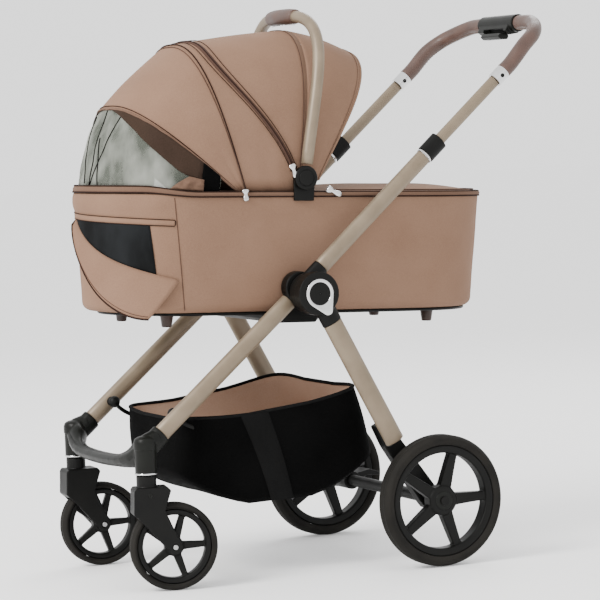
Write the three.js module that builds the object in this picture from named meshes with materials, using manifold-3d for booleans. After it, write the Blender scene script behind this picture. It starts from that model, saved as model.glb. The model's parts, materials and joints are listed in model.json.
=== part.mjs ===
// A pet stroller: a folding wheeled chassis that carries a lift-off pet cabin with a folding hood.
// Millimetres. +Z is up, +X points to the rear (towards the push handle) and +Y to the stroller's right side.
// The origin is the middle of the bounding box, on the floor.
import * as THREE from "three";
import { mergeVertices } from "three/addons/utils/BufferGeometryUtils.js";
import Module from "manifold-3d";

const wasm = await Module();
wasm.setup();

// ---------------------------------------------------------------- driving dimensions
const ORIGIN_SHIFT_X = -94.1; // centres the bounding box on X
const GAP = 0.3; // between pieces that touch in the real object
const SIDES = [
  ["left", -1],
  ["right", 1],
];

// The frame and the cabin are laid out level in (x, z), then tipped back by RAKE about the rear
// wheels' line on the floor, so the cabin rides with its front end a little high.
const RAKE = 2.45; // degrees
const RAKE_PIVOT_X = 244.5;

const HINGE = [-17, 546]; // main fold axis, along Y
const HANDLE_ANGLE = 43.7; // degrees above +X
const HANDLE_START = [6, 597]; // where the handle tube begins
const FRONT_LEG_ANGLE = 222.7;
const FRONT_LEG_TOP = [-50, 529];
const REAR_LEG_ANGLE = 300.1;

// The three hinge layers and the tubes in them, as distances from the middle plane.
const FRONT_LEG_Y = 187;
const HANDLE_Y = 216;
const REAR_LEG_Y = 245;
const LAYER = 26; // thickness of each layer
const PIN_R = 7;

const FRONT_TUBE = [34, LAYER]; // oval tubes: width in the side view, thickness along Y
const REAR_TUBE = [40, LAYER];
const HANDLE_TUBE = [32, LAYER];
const INNER_TUBE = [24, 18];
const TUBE_WALL = 2.5;

const FRONT_LEG_LENGTH = 369;
const REAR_LEG_FROM = 67; // distances from the fold axis
const REAR_LEG_TO = 342;
const HANDLE_TUBE_LENGTH = 332; // from HANDLE_START, as are the next three
const COLLAR_AT = 318;
const INNER_FROM = 255;
const INNER_TO = 534;
const COLLAR_LENGTH = 42;
const CONNECTOR_LENGTH = 28;
const GRIP_R = 15.5;
const BAR_MIDDLE = [528, 1091];
const BAR_HOUSING_LENGTH = 146;

const REAR_WHEEL = {
  radius: 131.2, width: 45, tyreInner: 111, rimInner: 93, hubRadius: 26, hubWidth: 40, bore: 9,
  spokeWidth: 21, spokeDepth: 22, spokes: 5, sides: 30,
};
const FRONT_WHEEL = {
  radius: 85.5, width: 34, tyreInner: 73, rimInner: 61, hubRadius: 15, hubWidth: 34, bore: 5,
  spokeWidth: 13, spokeDepth: 15, spokes: 5, sides: 24,
};
const REAR_AXLE = [249, REAR_WHEEL.radius]; // measured on the floor's own axes
const REAR_WHEEL_Y = 270;
const CASTER = { x: -346, y: 192, trail: 48, top: 226 }; // swivel axis and yoke joint, likewise
const CASTER_STEER = { left: -13, right: -3 }; // degrees about +Z in the stored pose

const TUB = {
  front: -417, rear: 448, halfWidth: 180, // at the rim
  bottomInset: 17, bottom: 508, rim: 741, wall: 7, floor: 9, bottomRound: 16,
};
const BASE = { top: 507.6, bottom: 501.5, inset: 22 };
const FOOT = { bottom: 480, topRadius: 13, bottomRadius: 10, front: -282, rear: 289, y: 120 };
const HUB = [-16, 771]; // hood pivot, along Y
const ARCH_Y = 186;
const ARCH_R = 12;
const ARCH_TOP = [21, 1095];
const HOOD_THICKNESS = 5;
const BASKET = { front: -262, rear: 106, lowFront: -265, lowRear: 160, depth: [114, 80, 140] };

// Side-view outlines are (x, z) points; the yoke's and fork's are offsets from the swivel axis.
const CRADLE = {
  beam: [[-70, 486], [14, 486], [20, 492], [20, 500], [-76, 500], [-76, 492]],
  post: [[-46, 490], [8, 490], [8, 522], [-46, 522]], postWidth: 7,
};
const YOKE = {
  bridge: [[6, 0, 289], [-4, 16, 270], [-12, 52, 254], [-17, 100, 247]], // forward, inboard, height
  bar: [36, 26], postRadius: 21, postTop: 296, socket: [42, 34], socketLength: 44, boreTop: 272,
};
const STEM = { radius: 8, from: 212, to: 268 };
const FORK = {
  front: [[-24, 203], [-28, 198], [-30, 152], [-20, 143]], back: [[31, 158], [44, 196], [38, 203]],
  eye: 13, cheek: 8.5, sideClearance: 2.5, tyreClearance: 5, neckRadius: 19.5, neckBottom: 200,
};
const ANKLE = { inner: 206, top: 300, bend: 352, halfTop: 17, halfBend: 19, back: 345, spigot: 26 };
const PEDAL = {
  ring: 19, from: 128, to: 186, treadFrom: 132, treadTo: 182, clearance: 0.4,
  tread: [[0, 12], [44, 20], [66, 12], [64, 5], [40, 8], [0, -6]],
};
const AXLE_TUBE_R = 12;
const BEZEL = { ring: 29, tail: 10, tailAt: 37, spread: 62, thickness: 3 };
const COVER = { front: 44, gap: 0.4, layers: [[0, 0], [0, 9], [22, 15], [70, 18]] }; // inset, lift

// ---------------------------------------------------------------- materials
const paint = (color, roughness, metalness = 0) =>
  new THREE.MeshStandardMaterial({ color, roughness, metalness });
const M = {
  frame: paint(0xb3a794, 0.38, 0.55),
  black: paint(0x24241f, 0.55),
  graphite: paint(0x3b3b36, 0.5),
  tyre: paint(0x3d3c36, 0.85),
  chrome: paint(0xd8d8d8, 0.12, 1),
  leather: paint(0x6b4d3d, 0.6),
  brown: paint(0x4a3026, 0.5),
  fabric: paint(0xa98a76, 0.9),
  net: paint(0x2a2a28, 0.95),
  lining: paint(0x1c1c1a, 0.95),
  steel: paint(0xb8b8b8, 0.3, 1),
};

// ---------------------------------------------------------------- solid helpers
const rad = THREE.MathUtils.degToRad;
const direction = (deg) => [Math.cos(rad(deg)), Math.sin(rad(deg))];
const along = (start, deg, distance) => {
  const [c, s] = direction(deg);
  return [start[0] + c * distance, start[1] + s * distance];
};

// A closed geometry as a manifold solid.
function solid(geometry) {
  const bare = geometry.clone();
  for (const name of Object.keys(bare.attributes)) if (name !== "position") bare.deleteAttribute(name);
  const merged = mergeVertices(bare, 1e-4);
  return new wasm.Manifold(
    new wasm.Mesh({
      numProp: 3,
      vertProperties: merged.attributes.position.array,
      triVerts: new Uint32Array(merged.index.array),
    }),
  );
}

// A manifold solid as a geometry.
function geometryOf(made) {
  const mesh = made.getMesh();
  return new THREE.BufferGeometry()
    .setAttribute("position", new THREE.BufferAttribute(mesh.vertProperties, 3))
    .setIndex(new THREE.BufferAttribute(mesh.triVerts, 1));
}

// The tipped layout, and the pieces that stand square to the floor.
const layout = new THREE.Group();
const level = new THREE.Group();
layout.rotation.y = rad(RAKE);
layout.position.set(RAKE_PIVOT_X * (1 - Math.cos(rad(RAKE))), 0, RAKE_PIVOT_X * Math.sin(rad(RAKE)));

// A layout point as it stands once tipped, and the other way round.
const turnPoint = ([x, z], degrees) => {
  const [c, n] = direction(degrees);
  const away = x - RAKE_PIVOT_X;
  return [RAKE_PIVOT_X + away * c + z * n, -away * n + z * c];
};
const tipped = (point) => turnPoint(point, RAKE);
const laidOut = (point) => turnPoint(point, -RAKE);

function place(name, made, material, group = layout) {
  const mesh = new THREE.Mesh(made.isBufferGeometry ? made : geometryOf(made), material);
  mesh.name = name;
  group.add(mesh);
}

// An oval outline, as a THREE.Shape.
function oval(width, depth, sides = 16) {
  const points = [];
  for (let i = 0; i < sides; i++) {
    const a = (i / sides) * 2 * Math.PI;
    points.push(new THREE.Vector2((Math.cos(a) * width) / 2, (Math.sin(a) * depth) / 2));
  }
  return new THREE.Shape(points);
}

// An oval bar or tube in the side view, from a point along an angle, in the layer at y.
function ovalBar([width, depth], start, angle, length, y, wall = 0, sides = 16) {
  const shape = oval(width, depth, sides);
  if (wall) shape.holes.push(oval(width - 2 * wall, depth - 2 * wall, sides));
  const geometry = new THREE.ExtrudeGeometry(shape, { depth: length, bevelEnabled: false });
  const [c, s] = direction(angle);
  const basis = new THREE.Matrix4().makeBasis(
    new THREE.Vector3(-s, 0, c),
    new THREE.Vector3(0, -1, 0),
    new THREE.Vector3(c, 0, s),
  );
  geometry.applyMatrix4(basis.setPosition(start[0], y, start[1]));
  return geometry;
}

// A side-view outline of (x, z) points, extruded between two values of y.
const flat = (points) => points.map(([x, z]) => new THREE.Vector2(x, z));
function plate(points, y0, y1) {
  const shape = points instanceof THREE.Shape ? points : new THREE.Shape(flat(points));
  const geometry = new THREE.ExtrudeGeometry(shape, { depth: Math.abs(y1 - y0), bevelEnabled: false });
  geometry.rotateX(Math.PI / 2); // the outline's y becomes z, and the depth runs towards -y
  geometry.translate(0, Math.max(y0, y1), 0);
  return geometry;
}

function circle([x, z], radius, sides = 24) {
  const points = [];
  for (let i = 0; i < sides; i++) {
    const a = ((i + 0.5) / sides) * 2 * Math.PI;
    points.push([x + radius * Math.cos(a), z + radius * Math.sin(a)]);
  }
  return points;
}
const disc = (centre, radius, y0, y1, sides = 24) => plate(circle(centre, radius, sides), y0, y1);

function upright(x, y, z0, z1, radius, sides = 24, topRadius = radius) {
  const geometry = new THREE.CylinderGeometry(topRadius, radius, z1 - z0, sides);
  geometry.rotateX(Math.PI / 2);
  return geometry.translate(x, y, (z0 + z1) / 2);
}

// A solid through closed rings with the same number of points, capped at both ends.
function loft(rings) {
  const count = rings[0].length;
  const positions = rings.flat().flatMap((p) => [p[0], p[1], p[2]]);
  const index = [];
  for (let r = 0; r + 1 < rings.length; r++)
    for (let i = 0; i < count; i++) {
      const j = (i + 1) % count;
      const [a, b, c, d] = [r * count + i, r * count + j, (r + 1) * count + j, (r + 1) * count + i];
      index.push(a, b, c, a, c, d);
    }
  const cap = (ring, base, flip) => {
    const middle = ring.reduce((sum, p) => sum.map((v, k) => v + p[k] / count), [0, 0, 0]);
    const apex = positions.length / 3;
    positions.push(...middle);
    for (let i = 0; i < count; i++) {
      const j = (i + 1) % count;
      index.push(...(flip ? [apex, base + j, base + i] : [apex, base + i, base + j]));
    }
  };
  cap(rings[0], 0, true);
  cap(rings.at(-1), (rings.length - 1) * count, false);
  return new THREE.BufferGeometry()
    .setAttribute("position", new THREE.BufferAttribute(new Float32Array(positions), 3))
    .setIndex(index);
}

// A grid of points closed into a sheet with thickness: outer and inner are rows of the same size.
function shell(outer, inner) {
  const [rows, columns] = [outer.length, outer[0].length];
  const positions = [...outer.flat(), ...inner.flat()].flat();
  const at = (side, r, c) => side * rows * columns + r * columns + c;
  const index = [];
  const quad = (a, b, c, d) => index.push(a, b, c, a, c, d);
  for (let r = 0; r + 1 < rows; r++)
    for (let c = 0; c + 1 < columns; c++) {
      quad(at(0, r, c), at(0, r + 1, c), at(0, r + 1, c + 1), at(0, r, c + 1));
      quad(at(1, r, c), at(1, r, c + 1), at(1, r + 1, c + 1), at(1, r + 1, c));
    }
  for (let r = 0; r + 1 < rows; r++) {
    quad(at(0, r, 0), at(1, r, 0), at(1, r + 1, 0), at(0, r + 1, 0));
    quad(at(0, r, columns - 1), at(0, r + 1, columns - 1), at(1, r + 1, columns - 1), at(1, r, columns - 1));
  }
  for (let c = 0; c + 1 < columns; c++) {
    quad(at(0, 0, c), at(0, 0, c + 1), at(1, 0, c + 1), at(1, 0, c));
    quad(at(0, rows - 1, c), at(1, rows - 1, c), at(1, rows - 1, c + 1), at(0, rows - 1, c + 1));
  }
  return new THREE.BufferGeometry()
    .setAttribute("position", new THREE.BufferAttribute(new Float32Array(positions), 3))
    .setIndex(index);
}

// A round bar swept along points with a parallel frame.
function sweep(points, section, steps) {
  const curve = new THREE.CatmullRomCurve3(points.map((p) => new THREE.Vector3(...p)), false, "centripetal");
  return new THREE.ExtrudeGeometry(section, { extrudePath: curve, steps, bevelEnabled: false });
}

// ---------------------------------------------------------------- wheels
function tyre(wheel) {
  const crown = wheel.radius / Math.cos(Math.PI / wheel.sides); // so that a flat meets the floor
  const half = wheel.width / 2;
  const profile = [
    [wheel.tyreInner, -half * 0.72],
    [wheel.radius - 9, -half],
    [crown, -half * 0.36],
    [crown, half * 0.36],
    [wheel.radius - 9, half],
    [wheel.tyreInner, half * 0.72],
    [wheel.tyreInner, -half * 0.72],
  ];
  const geometry = new THREE.LatheGeometry(profile.map((p) => new THREE.Vector2(...p)), wheel.sides);
  return geometry.rotateY(Math.PI / wheel.sides);
}

function rim(wheel) {
  const outer = wheel.tyreInner - GAP;
  const half = wheel.width * 0.36;
  const barrel = [
    [outer, -half],
    [outer, half],
    [wheel.rimInner, half * 0.8],
    [wheel.rimInner, -half * 0.8],
    [outer, -half],
  ];
  const ring = new THREE.LatheGeometry(barrel.map((p) => new THREE.Vector2(...p)), wheel.sides);
  let made = solid(ring.rotateY(Math.PI / wheel.sides));
  const hub = new THREE.CylinderGeometry(wheel.hubRadius, wheel.hubRadius, wheel.hubWidth, 20);
  made = made.add(solid(hub));
  for (let i = 0; i < wheel.spokes; i++) {
    const length = wheel.rimInner + 2 - wheel.hubRadius * 0.5;
    const spoke = new THREE.BoxGeometry(wheel.spokeWidth, wheel.spokeDepth, length);
    spoke.translate(0, 0, wheel.hubRadius * 0.5 + length / 2);
    spoke.rotateY((i / wheel.spokes) * 2 * Math.PI);
    made = made.add(solid(spoke));
  }
  const bore = new THREE.CylinderGeometry(wheel.bore + GAP, wheel.bore + GAP, wheel.hubWidth + 2, 16);
  return made.subtract(solid(bore));
}

// A tyre and its rim, turned about the upright through pivotX.
function wheelAt(name, wheel, x, y, z, steer = 0, pivotX = 0) {
  const turn = (geometry) =>
    geometry.translate(x - pivotX, 0, z).rotateZ(rad(steer)).translate(pivotX, y, 0);
  place(name.replace("wheel", "tyre"), turn(tyre(wheel)), M.tyre, level);
  place(name.replace("wheel", "rim"), turn(geometryOf(rim(wheel))), M.black, level);
}

// ---------------------------------------------------------------- chassis
// A hinge piece: a disc on the fold axis with a neck and a spigot that plugs into an oval tube.
function hingeKnuckle(radius, y, tube, start, angle, into) {
  const [y0, y1] = [y - LAYER / 2, y + LAYER / 2];
  let made = solid(disc(HINGE, radius, y0, y1));
  const neckStart = along(start, angle, -into);
  made = made.add(solid(ovalBar([tube[0] + 3, LAYER], neckStart, angle, into - GAP, y)));
  const spigot = tube.map((size) => size - 2 * TUBE_WALL - 2 * GAP);
  made = made.add(solid(ovalBar(spigot, along(start, angle, -2), angle, 24, y)));
  return made.subtract(solid(disc(HINGE, PIN_R + GAP, y0 - 1, y1 + 1, 20)));
}

function frontLegs() {
  for (const [side, s] of SIDES) {
    const y = s * FRONT_LEG_Y;
    const leg = ovalBar(FRONT_TUBE, FRONT_LEG_TOP, FRONT_LEG_ANGLE, FRONT_LEG_LENGTH, y, TUBE_WALL);
    place(`front_leg_${side}`, leg, M.frame);
    const lobe = disc([-30, 556], 32, y - LAYER / 2, y + LAYER / 2);
    const knuckle = hingeKnuckle(35, y, FRONT_TUBE, FRONT_LEG_TOP, FRONT_LEG_ANGLE, 34);
    const pinHole = disc(HINGE, PIN_R + GAP, y - LAYER, y + LAYER, 20);
    place(`hinge_inner_${side}`, knuckle.add(solid(lobe)).subtract(solid(pinHole)), M.black);
    const pin = disc(HINGE, PIN_R, s * (FRONT_LEG_Y - 12), s * (REAR_LEG_Y + 10), 20);
    place(`hinge_pin_${side}`, pin, M.steel);
  }
  const inner = FRONT_LEG_Y - LAYER / 2 - GAP;
  let made = solid(plate(CRADLE.beam, -inner, inner));
  for (const [, s] of SIDES)
    made = made.add(solid(plate(CRADLE.post, s * (inner - CRADLE.postWidth), s * inner)));
  place("cabin_cradle", made, M.black);
}

function frontYoke() {
  const foot = tipped(along(FRONT_LEG_TOP, FRONT_LEG_ANGLE, FRONT_LEG_LENGTH));
  const angle = FRONT_LEG_ANGLE - RAKE;
  const half = YOKE.bridge.map(([dx, inboard, z]) => [CASTER.x + dx, CASTER.y - inboard, z]);
  const bridge = [...half.map(([x, y, z]) => [x, -y, z]), ...[...half].reverse()];
  let made = solid(sweep(bridge, oval(...YOKE.bar, 10), 16));
  const spigot = FRONT_TUBE.map((size) => size - 2 * TUBE_WALL - 2 * GAP);
  for (const [, s] of SIDES) {
    const y = s * FRONT_LEG_Y;
    made = made.add(solid(upright(CASTER.x, s * CASTER.y, CASTER.top, YOKE.postTop, YOKE.postRadius, 20)));
    made = made.add(solid(ovalBar(YOKE.socket, along(foot, angle, GAP), angle, YOKE.socketLength, y)));
    made = made.add(solid(ovalBar(spigot, along(foot, angle, -22), angle, 30, y)));
    const bore = upright(CASTER.x, s * CASTER.y, CASTER.top - 1, YOKE.boreTop, STEM.radius + GAP, 16);
    made = made.subtract(solid(bore));
  }
  place("front_yoke", made, M.graphite, level);
}

function casters() {
  const { radius, width, bore } = FRONT_WHEEL;
  const axle = [CASTER.x + CASTER.trail, radius];
  const half = width / 2 + FORK.cheek;
  const clear = width / 2 + FORK.sideClearance;
  for (const [side, s] of SIDES) {
    const y = s * CASTER.y;
    const steer = CASTER_STEER[side];
    const turn = (geometry) =>
      geometry.translate(-CASTER.x, 0, 0).rotateZ(rad(steer)).translate(CASTER.x, y, 0);
    const arm = new THREE.Shape(flat(FORK.front.map(([x, z]) => [CASTER.x + x, z])));
    arm.absarc(...axle, FORK.eye, rad(215), rad(395), false);
    for (const [x, z] of FORK.back) arm.lineTo(CASTER.x + x, z);
    let fork = solid(plate(arm, -half, half));
    fork = fork.subtract(solid(disc(axle, radius + FORK.tyreClearance, -clear, clear, 30)));
    fork = fork.add(solid(upright(CASTER.x, 0, FORK.neckBottom, CASTER.top - 1, FORK.neckRadius, 20)));
    fork = fork.add(solid(upright(CASTER.x, 0, STEM.from, STEM.to, STEM.radius, 16)));
    fork = fork.subtract(solid(disc(axle, bore + GAP, -half - 1, half + 1, 16)));
    place(`caster_fork_${side}`, turn(geometryOf(fork)), M.black, level);
    place(`front_axle_${side}`, turn(disc(axle, bore, -half - 1.5, half + 1.5, 16)), M.steel, level);
    wheelAt(`front_wheel_${side}`, FRONT_WHEEL, axle[0], y, radius, steer, CASTER.x);
  }
}

function rearLegs() {
  const [c, s0] = direction(REAR_LEG_ANGLE);
  const normal = [-s0, c]; // towards the rear wheel
  const axle = laidOut(REAR_AXLE);
  const across = (distance, offset) => [
    HINGE[0] + c * distance + normal[0] * offset,
    HINGE[1] + s0 * distance + normal[1] * offset,
  ];
  for (const [side, s] of SIDES) {
    const y = s * REAR_LEG_Y;
    const start = along(HINGE, REAR_LEG_ANGLE, REAR_LEG_FROM);
    const leg = ovalBar(REAR_TUBE, start, REAR_LEG_ANGLE, REAR_LEG_TO - REAR_LEG_FROM, y, TUBE_WALL);
    place(`rear_leg_${side}`, leg, M.frame);
    place(`hinge_outer_${side}`, hingeKnuckle(43, y, REAR_TUBE, start, REAR_LEG_ANGLE, 40), M.black);

    const footInner = s * ANKLE.inner;
    const footOuter = s * (REAR_LEG_Y - LAYER / 2 - GAP);
    const ankle = new THREE.Shape([
      new THREE.Vector2(...across(ANKLE.top, -ANKLE.halfTop)),
      new THREE.Vector2(...across(ANKLE.top, ANKLE.halfTop)),
      new THREE.Vector2(...across(ANKLE.bend, ANKLE.halfBend)),
      new THREE.Vector2(axle[0] + 19, axle[1] + 12),
      new THREE.Vector2(axle[0] + 19, axle[1] - 12),
      new THREE.Vector2(axle[0] + 8, axle[1] - 21),
      new THREE.Vector2(axle[0] - 12, axle[1] - 20),
      new THREE.Vector2(axle[0] - 24, axle[1] - 6),
      new THREE.Vector2(...across(ANKLE.back, -ANKLE.halfBend)),
    ]);
    let foot = solid(plate(ankle, footInner, footOuter));
    const spigot = REAR_TUBE.map((size) => size - 2 * TUBE_WALL - 2 * GAP);
    const spigotStart = along(HINGE, REAR_LEG_ANGLE, REAR_LEG_TO - ANKLE.spigot);
    foot = foot.add(solid(ovalBar(spigot, spigotStart, REAR_LEG_ANGLE, 28, y)));
    const toe = plate([across(REAR_LEG_TO + GAP, -16), across(REAR_LEG_TO + GAP, 12),
      across(REAR_LEG_TO + 4, 12), across(REAR_LEG_TO + 4, -16)], footInner, s * (REAR_LEG_Y + 2));
    foot = foot.add(solid(toe));
    foot = foot.subtract(solid(disc(axle, REAR_WHEEL.bore + GAP, s * 200, s * 260, 20)));
    place(`rear_foot_${side}`, foot, M.black);

    const bezel = new THREE.Shape();
    const tail = along(HINGE, REAR_LEG_ANGLE - 2, BEZEL.tailAt);
    const [from, to] = [rad(REAR_LEG_ANGLE + BEZEL.spread), rad(REAR_LEG_ANGLE + 360 - BEZEL.spread)];
    bezel.absarc(...HINGE, BEZEL.ring, from, to, false);
    bezel.absarc(...tail, BEZEL.tail, rad(REAR_LEG_ANGLE - BEZEL.spread), from, false);
    const face = REAR_LEG_Y + LAYER / 2 + GAP;
    place(`hinge_bezel_${side}`, plate(bezel, s * face, s * (face + BEZEL.thickness)), M.chrome);
    wheelAt(`rear_wheel_${side}`, REAR_WHEEL, REAR_AXLE[0], s * REAR_WHEEL_Y, REAR_AXLE[1]);
  }
  const rod = solid(disc(REAR_AXLE, REAR_WHEEL.bore, -(REAR_WHEEL_Y + 21), REAR_WHEEL_Y + 21, 20));
  const tube = solid(disc(REAR_AXLE, AXLE_TUBE_R, -ANKLE.inner + GAP, ANKLE.inner - GAP, 24));
  place("rear_axle", rod.add(tube), M.black, level);
}

function brakePedal() {
  const [x, z] = REAR_AXLE;
  const ring = solid(disc(REAR_AXLE, PEDAL.ring, PEDAL.from, PEDAL.to, 24));
  const outline = PEDAL.tread.map(([dx, dz]) => [x + dx, z + dz]);
  const tread = plate(outline, PEDAL.treadFrom, PEDAL.treadTo);
  const bore = solid(disc(REAR_AXLE, AXLE_TUBE_R + PEDAL.clearance, PEDAL.from - 2, PEDAL.to + 2));
  place("brake_pedal", ring.add(solid(tread)).subtract(bore), M.black, level);
}

// ---------------------------------------------------------------- push handle
function handle() {
  for (const [side, s] of SIDES) {
    const y = s * HANDLE_Y;
    const tube = ovalBar(HANDLE_TUBE, HANDLE_START, HANDLE_ANGLE, HANDLE_TUBE_LENGTH, y, 2);
    place(`handle_tube_${side}`, tube, M.frame);
    place(`hinge_middle_${side}`, hingeKnuckle(40, y, HANDLE_TUBE, HANDLE_START, HANDLE_ANGLE, 40), M.black);

    const collarStart = along(HANDLE_START, HANDLE_ANGLE, COLLAR_AT);
    const lower = HANDLE_TUBE.map((size) => size + 2 * GAP);
    const upper = INNER_TUBE.map((size) => size + 2 * GAP);
    let collar = solid(ovalBar([38, 31], collarStart, HANDLE_ANGLE, COLLAR_LENGTH, y, 0, 24));
    const seat = HANDLE_TUBE_LENGTH - COLLAR_AT + GAP;
    const below = along(collarStart, HANDLE_ANGLE, -1);
    collar = collar.subtract(solid(ovalBar(lower, below, HANDLE_ANGLE, seat + 1, y)));
    collar = collar.subtract(solid(ovalBar(upper, below, HANDLE_ANGLE, COLLAR_LENGTH + 2, y)));
    place(`height_collar_${side}`, collar, M.black);

    const innerStart = along(HANDLE_START, HANDLE_ANGLE, INNER_FROM);
    const inner = ovalBar(INNER_TUBE, innerStart, HANDLE_ANGLE, INNER_TO - INNER_FROM, y, 2);
    place(`inner_tube_${side}`, inner, M.frame);
    const endStart = along(HANDLE_START, HANDLE_ANGLE, INNER_TO + GAP);
    let connector = solid(ovalBar([30, 29], endStart, HANDLE_ANGLE, CONNECTOR_LENGTH, y, 0, 24));
    const plug = INNER_TUBE.map((size) => size - 4 - 2 * GAP);
    connector = connector.add(solid(ovalBar(plug, along(endStart, HANDLE_ANGLE, -20), HANDLE_ANGLE, 24, y)));
    place(`grip_connector_${side}`, connector, M.chrome);
    place(`grip_${side}`, gripHalf(s), M.leather);
  }
  const [x, z] = BAR_MIDDLE;
  const half = BAR_HOUSING_LENGTH / 2;
  const body = solid(disc([x, z], 18.5, -half, half, 28));
  const under = [[-17, 0], [-24, -16], [-12, -24], [8, -20], [14, 0]].map(([dx, dz]) => [x + dx, z + dz]);
  const chin = plate(under, -half + 14, half - 10);
  let housing = body.add(solid(chin));
  housing = housing.subtract(solid(plate(LEVER_POCKET, -48, 38)));
  place("bar_housing", housing, M.graphite);
}

const GRIP_START = along(HANDLE_START, HANDLE_ANGLE, INNER_TO + CONNECTOR_LENGTH + 2 * GAP);
const [BX, BZ] = BAR_MIDDLE;
const LEVER_POCKET = [[BX - 30, BZ - 12], [BX - 30, BZ - 30], [BX - 2, BZ - 30], [BX - 8, BZ - 10]];

function gripHalf(s) {
  const end = BAR_HOUSING_LENGTH / 2 + GAP;
  const route = [
    GRIP_START,
    along(GRIP_START, HANDLE_ANGLE, 24),
    [460, 1037],
    [489, 1061],
    [511, 1078],
    [525, 1089],
    BAR_MIDDLE,
    BAR_MIDDLE,
  ];
  const ys = [HANDLE_Y, HANDLE_Y, 213, 199, 167, 128, 96, end];
  return sweep(route.map(([x, z], i) => [x, s * ys[i], z]), oval(2 * GRIP_R, 2 * GRIP_R, 12), 17);
}

function barControls() {
  const lever = [[-27, -20], [-33, -27], [-26, -33], [-10, -33], [-7, -27], [-10, -20]];
  place("release_lever", plate(lever.map(([x, z]) => [BX + x, BZ + z]), -44, 34), M.graphite);
}

// ---------------------------------------------------------------- basket
// A deep fabric basket hung between the front yoke and the rear legs.
function basket() {
  const columns = 22;
  const { front, rear, lowFront, lowRear, depth } = BASKET;
  const signed = (v, power) => Math.sign(v) * Math.abs(v) ** power;
  // one ring at a share of the full depth, drawn in all round by inset
  const ring = (level, inset, shrink = 1) => {
    const [x0, x1] = [front + (lowFront - front) * level + inset, rear + (lowRear - rear) * level - inset];
    const points = [];
    for (let i = 0; i < columns; i++) {
      const a = ((i + 0.5) / columns) * 2 * Math.PI;
      const [ca, sa] = [signed(Math.cos(a), 0.3) * shrink, signed(Math.sin(a), 0.3) * shrink];
      const w = (1 + ca) / 2; // 0 at the front, 1 at the rear
      const halfWidth = 183 + 30 * w - inset - 34 * level ** 2;
      const sag = 16 * (1 - (2 * w - 1) ** 2) + 12 * (1 - Math.abs(sa));
      const top = 305 + 57 * w - sag * (1 - level);
      const drop = depth[0] + (depth[2] - depth[0]) * w + depth[1] * (1 - (2 * w - 1) ** 2);
      points.push([x0 + (x1 - x0) * w, halfWidth * sa, top - drop * level + (level > 0 ? inset : 0)]);
    }
    return points;
  };
  const outer = [ring(1, 0, 0.5), ring(1, 0, 0.9), ring(0.94, 0), ring(0.6, 0), ring(0.3, 0), ring(0, 0)];
  const inner = [ring(0, 5), ring(0.3, 5), ring(0.6, 5), ring(0.92, 5), ring(0.97, 5, 0.88)];
  place("basket", loft([...outer, ...inner, ring(0.97, 5, 0.5)]), M.lining);
}

// ---------------------------------------------------------------- cabin
// The stadium-shaped outline of the cabin, drawn in by inset.
function stadium(inset, z, perEnd = 12) {
  const half = TUB.halfWidth - inset;
  const rear = TUB.rear - TUB.halfWidth;
  const front = TUB.front + TUB.halfWidth;
  const ring = [];
  for (let i = 0; i <= perEnd; i++) {
    const a = rad(-90 + (180 * i) / perEnd);
    ring.push([rear + half * Math.cos(a), half * Math.sin(a), z]);
  }
  for (let i = 0; i <= perEnd; i++) {
    const a = rad(90 + (180 * i) / perEnd);
    ring.push([front + half * Math.cos(a), half * Math.sin(a), z]);
  }
  return ring;
}

function cabin() {
  const { bottom, rim: top, wall, floor, bottomInset, bottomRound } = TUB;
  const taper = (z) => bottomInset * (1 - (z - bottom) / (top - bottom));
  const rings = [
    stadium(bottomInset + bottomRound, bottom),
    stadium(taper(bottom + 5) + bottomRound * 0.3, bottom + 5),
    stadium(taper(bottom + bottomRound), bottom + bottomRound),
    stadium(0, top),
    stadium(wall, top),
    stadium(taper(bottom + bottomRound) + wall, bottom + bottomRound),
    stadium(bottomInset + bottomRound + 3, bottom + floor),
  ];
  place("cabin_tub", loft(rings), M.fabric);

  const bed = [
    stadium(bottomInset + bottomRound + 8, bottom + floor + 1),
    stadium(bottomInset + 9 + wall, bottom + floor + 12),
    stadium(bottomInset + 9 + wall, bottom + floor + 26),
    stadium(bottomInset + bottomRound + 8, bottom + floor + 34),
  ];
  place("bed_pad", loft(bed), M.fabric);

  const { inset, bottom: under, top: deck } = BASE;
  let base = solid(loft([stadium(inset + 8, under), stadium(inset, under + 3), stadium(inset, deck)]));
  for (const x of [FOOT.front, FOOT.rear])
    for (const [, s] of SIDES) {
      const foot = upright(x, s * FOOT.y, FOOT.bottom, under + 1, FOOT.bottomRadius, 14, FOOT.topRadius);
      base = base.add(solid(foot));
    }
  place("cabin_base", base, M.brown);

  for (const [side, s] of SIDES) {
    const outline = [];
    for (let i = 0; i <= 16; i++) {
      const a = rad(-10 + (200 * i) / 16);
      outline.push([HUB[0] + 23 * Math.cos(a), HUB[1] + 23 * Math.sin(a)]);
    }
    outline.push([HUB[0] - 21, 726], [HUB[0] + 21, 726]);
    const socket = plate(outline, s * (TUB.halfWidth + 0.6), s * (TUB.halfWidth + 6.6));
    const stud = disc(HUB, 8, s * (TUB.halfWidth + 5), s * (TUB.halfWidth + 15), 20);
    place(`hood_socket_${side}`, solid(socket).add(solid(stud)), M.black);
  }
}

// The rear cover, zipped round the rim and raised a little in the middle.
function rearCover() {
  const { front } = COVER;
  const strip = ([inset, lift]) => {
    const rows = [];
    for (let i = 0; i <= 12; i++) {
      const a = rad(90 - (180 * i) / 12);
      const rear = TUB.rear - TUB.halfWidth;
      const half = TUB.halfWidth - inset;
      const edge = [rear + half * Math.cos(a), half * Math.sin(a)];
      rows.push(edge);
    }
    const ring = [[front, TUB.halfWidth - inset], ...rows, [front, -(TUB.halfWidth - inset)]];
    return ring.map(([x, y]) => [x, y, TUB.rim + COVER.gap + lift]).reverse();
  };
  place("rear_cover", loft(COVER.layers.map(strip)), M.fabric);
}

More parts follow.
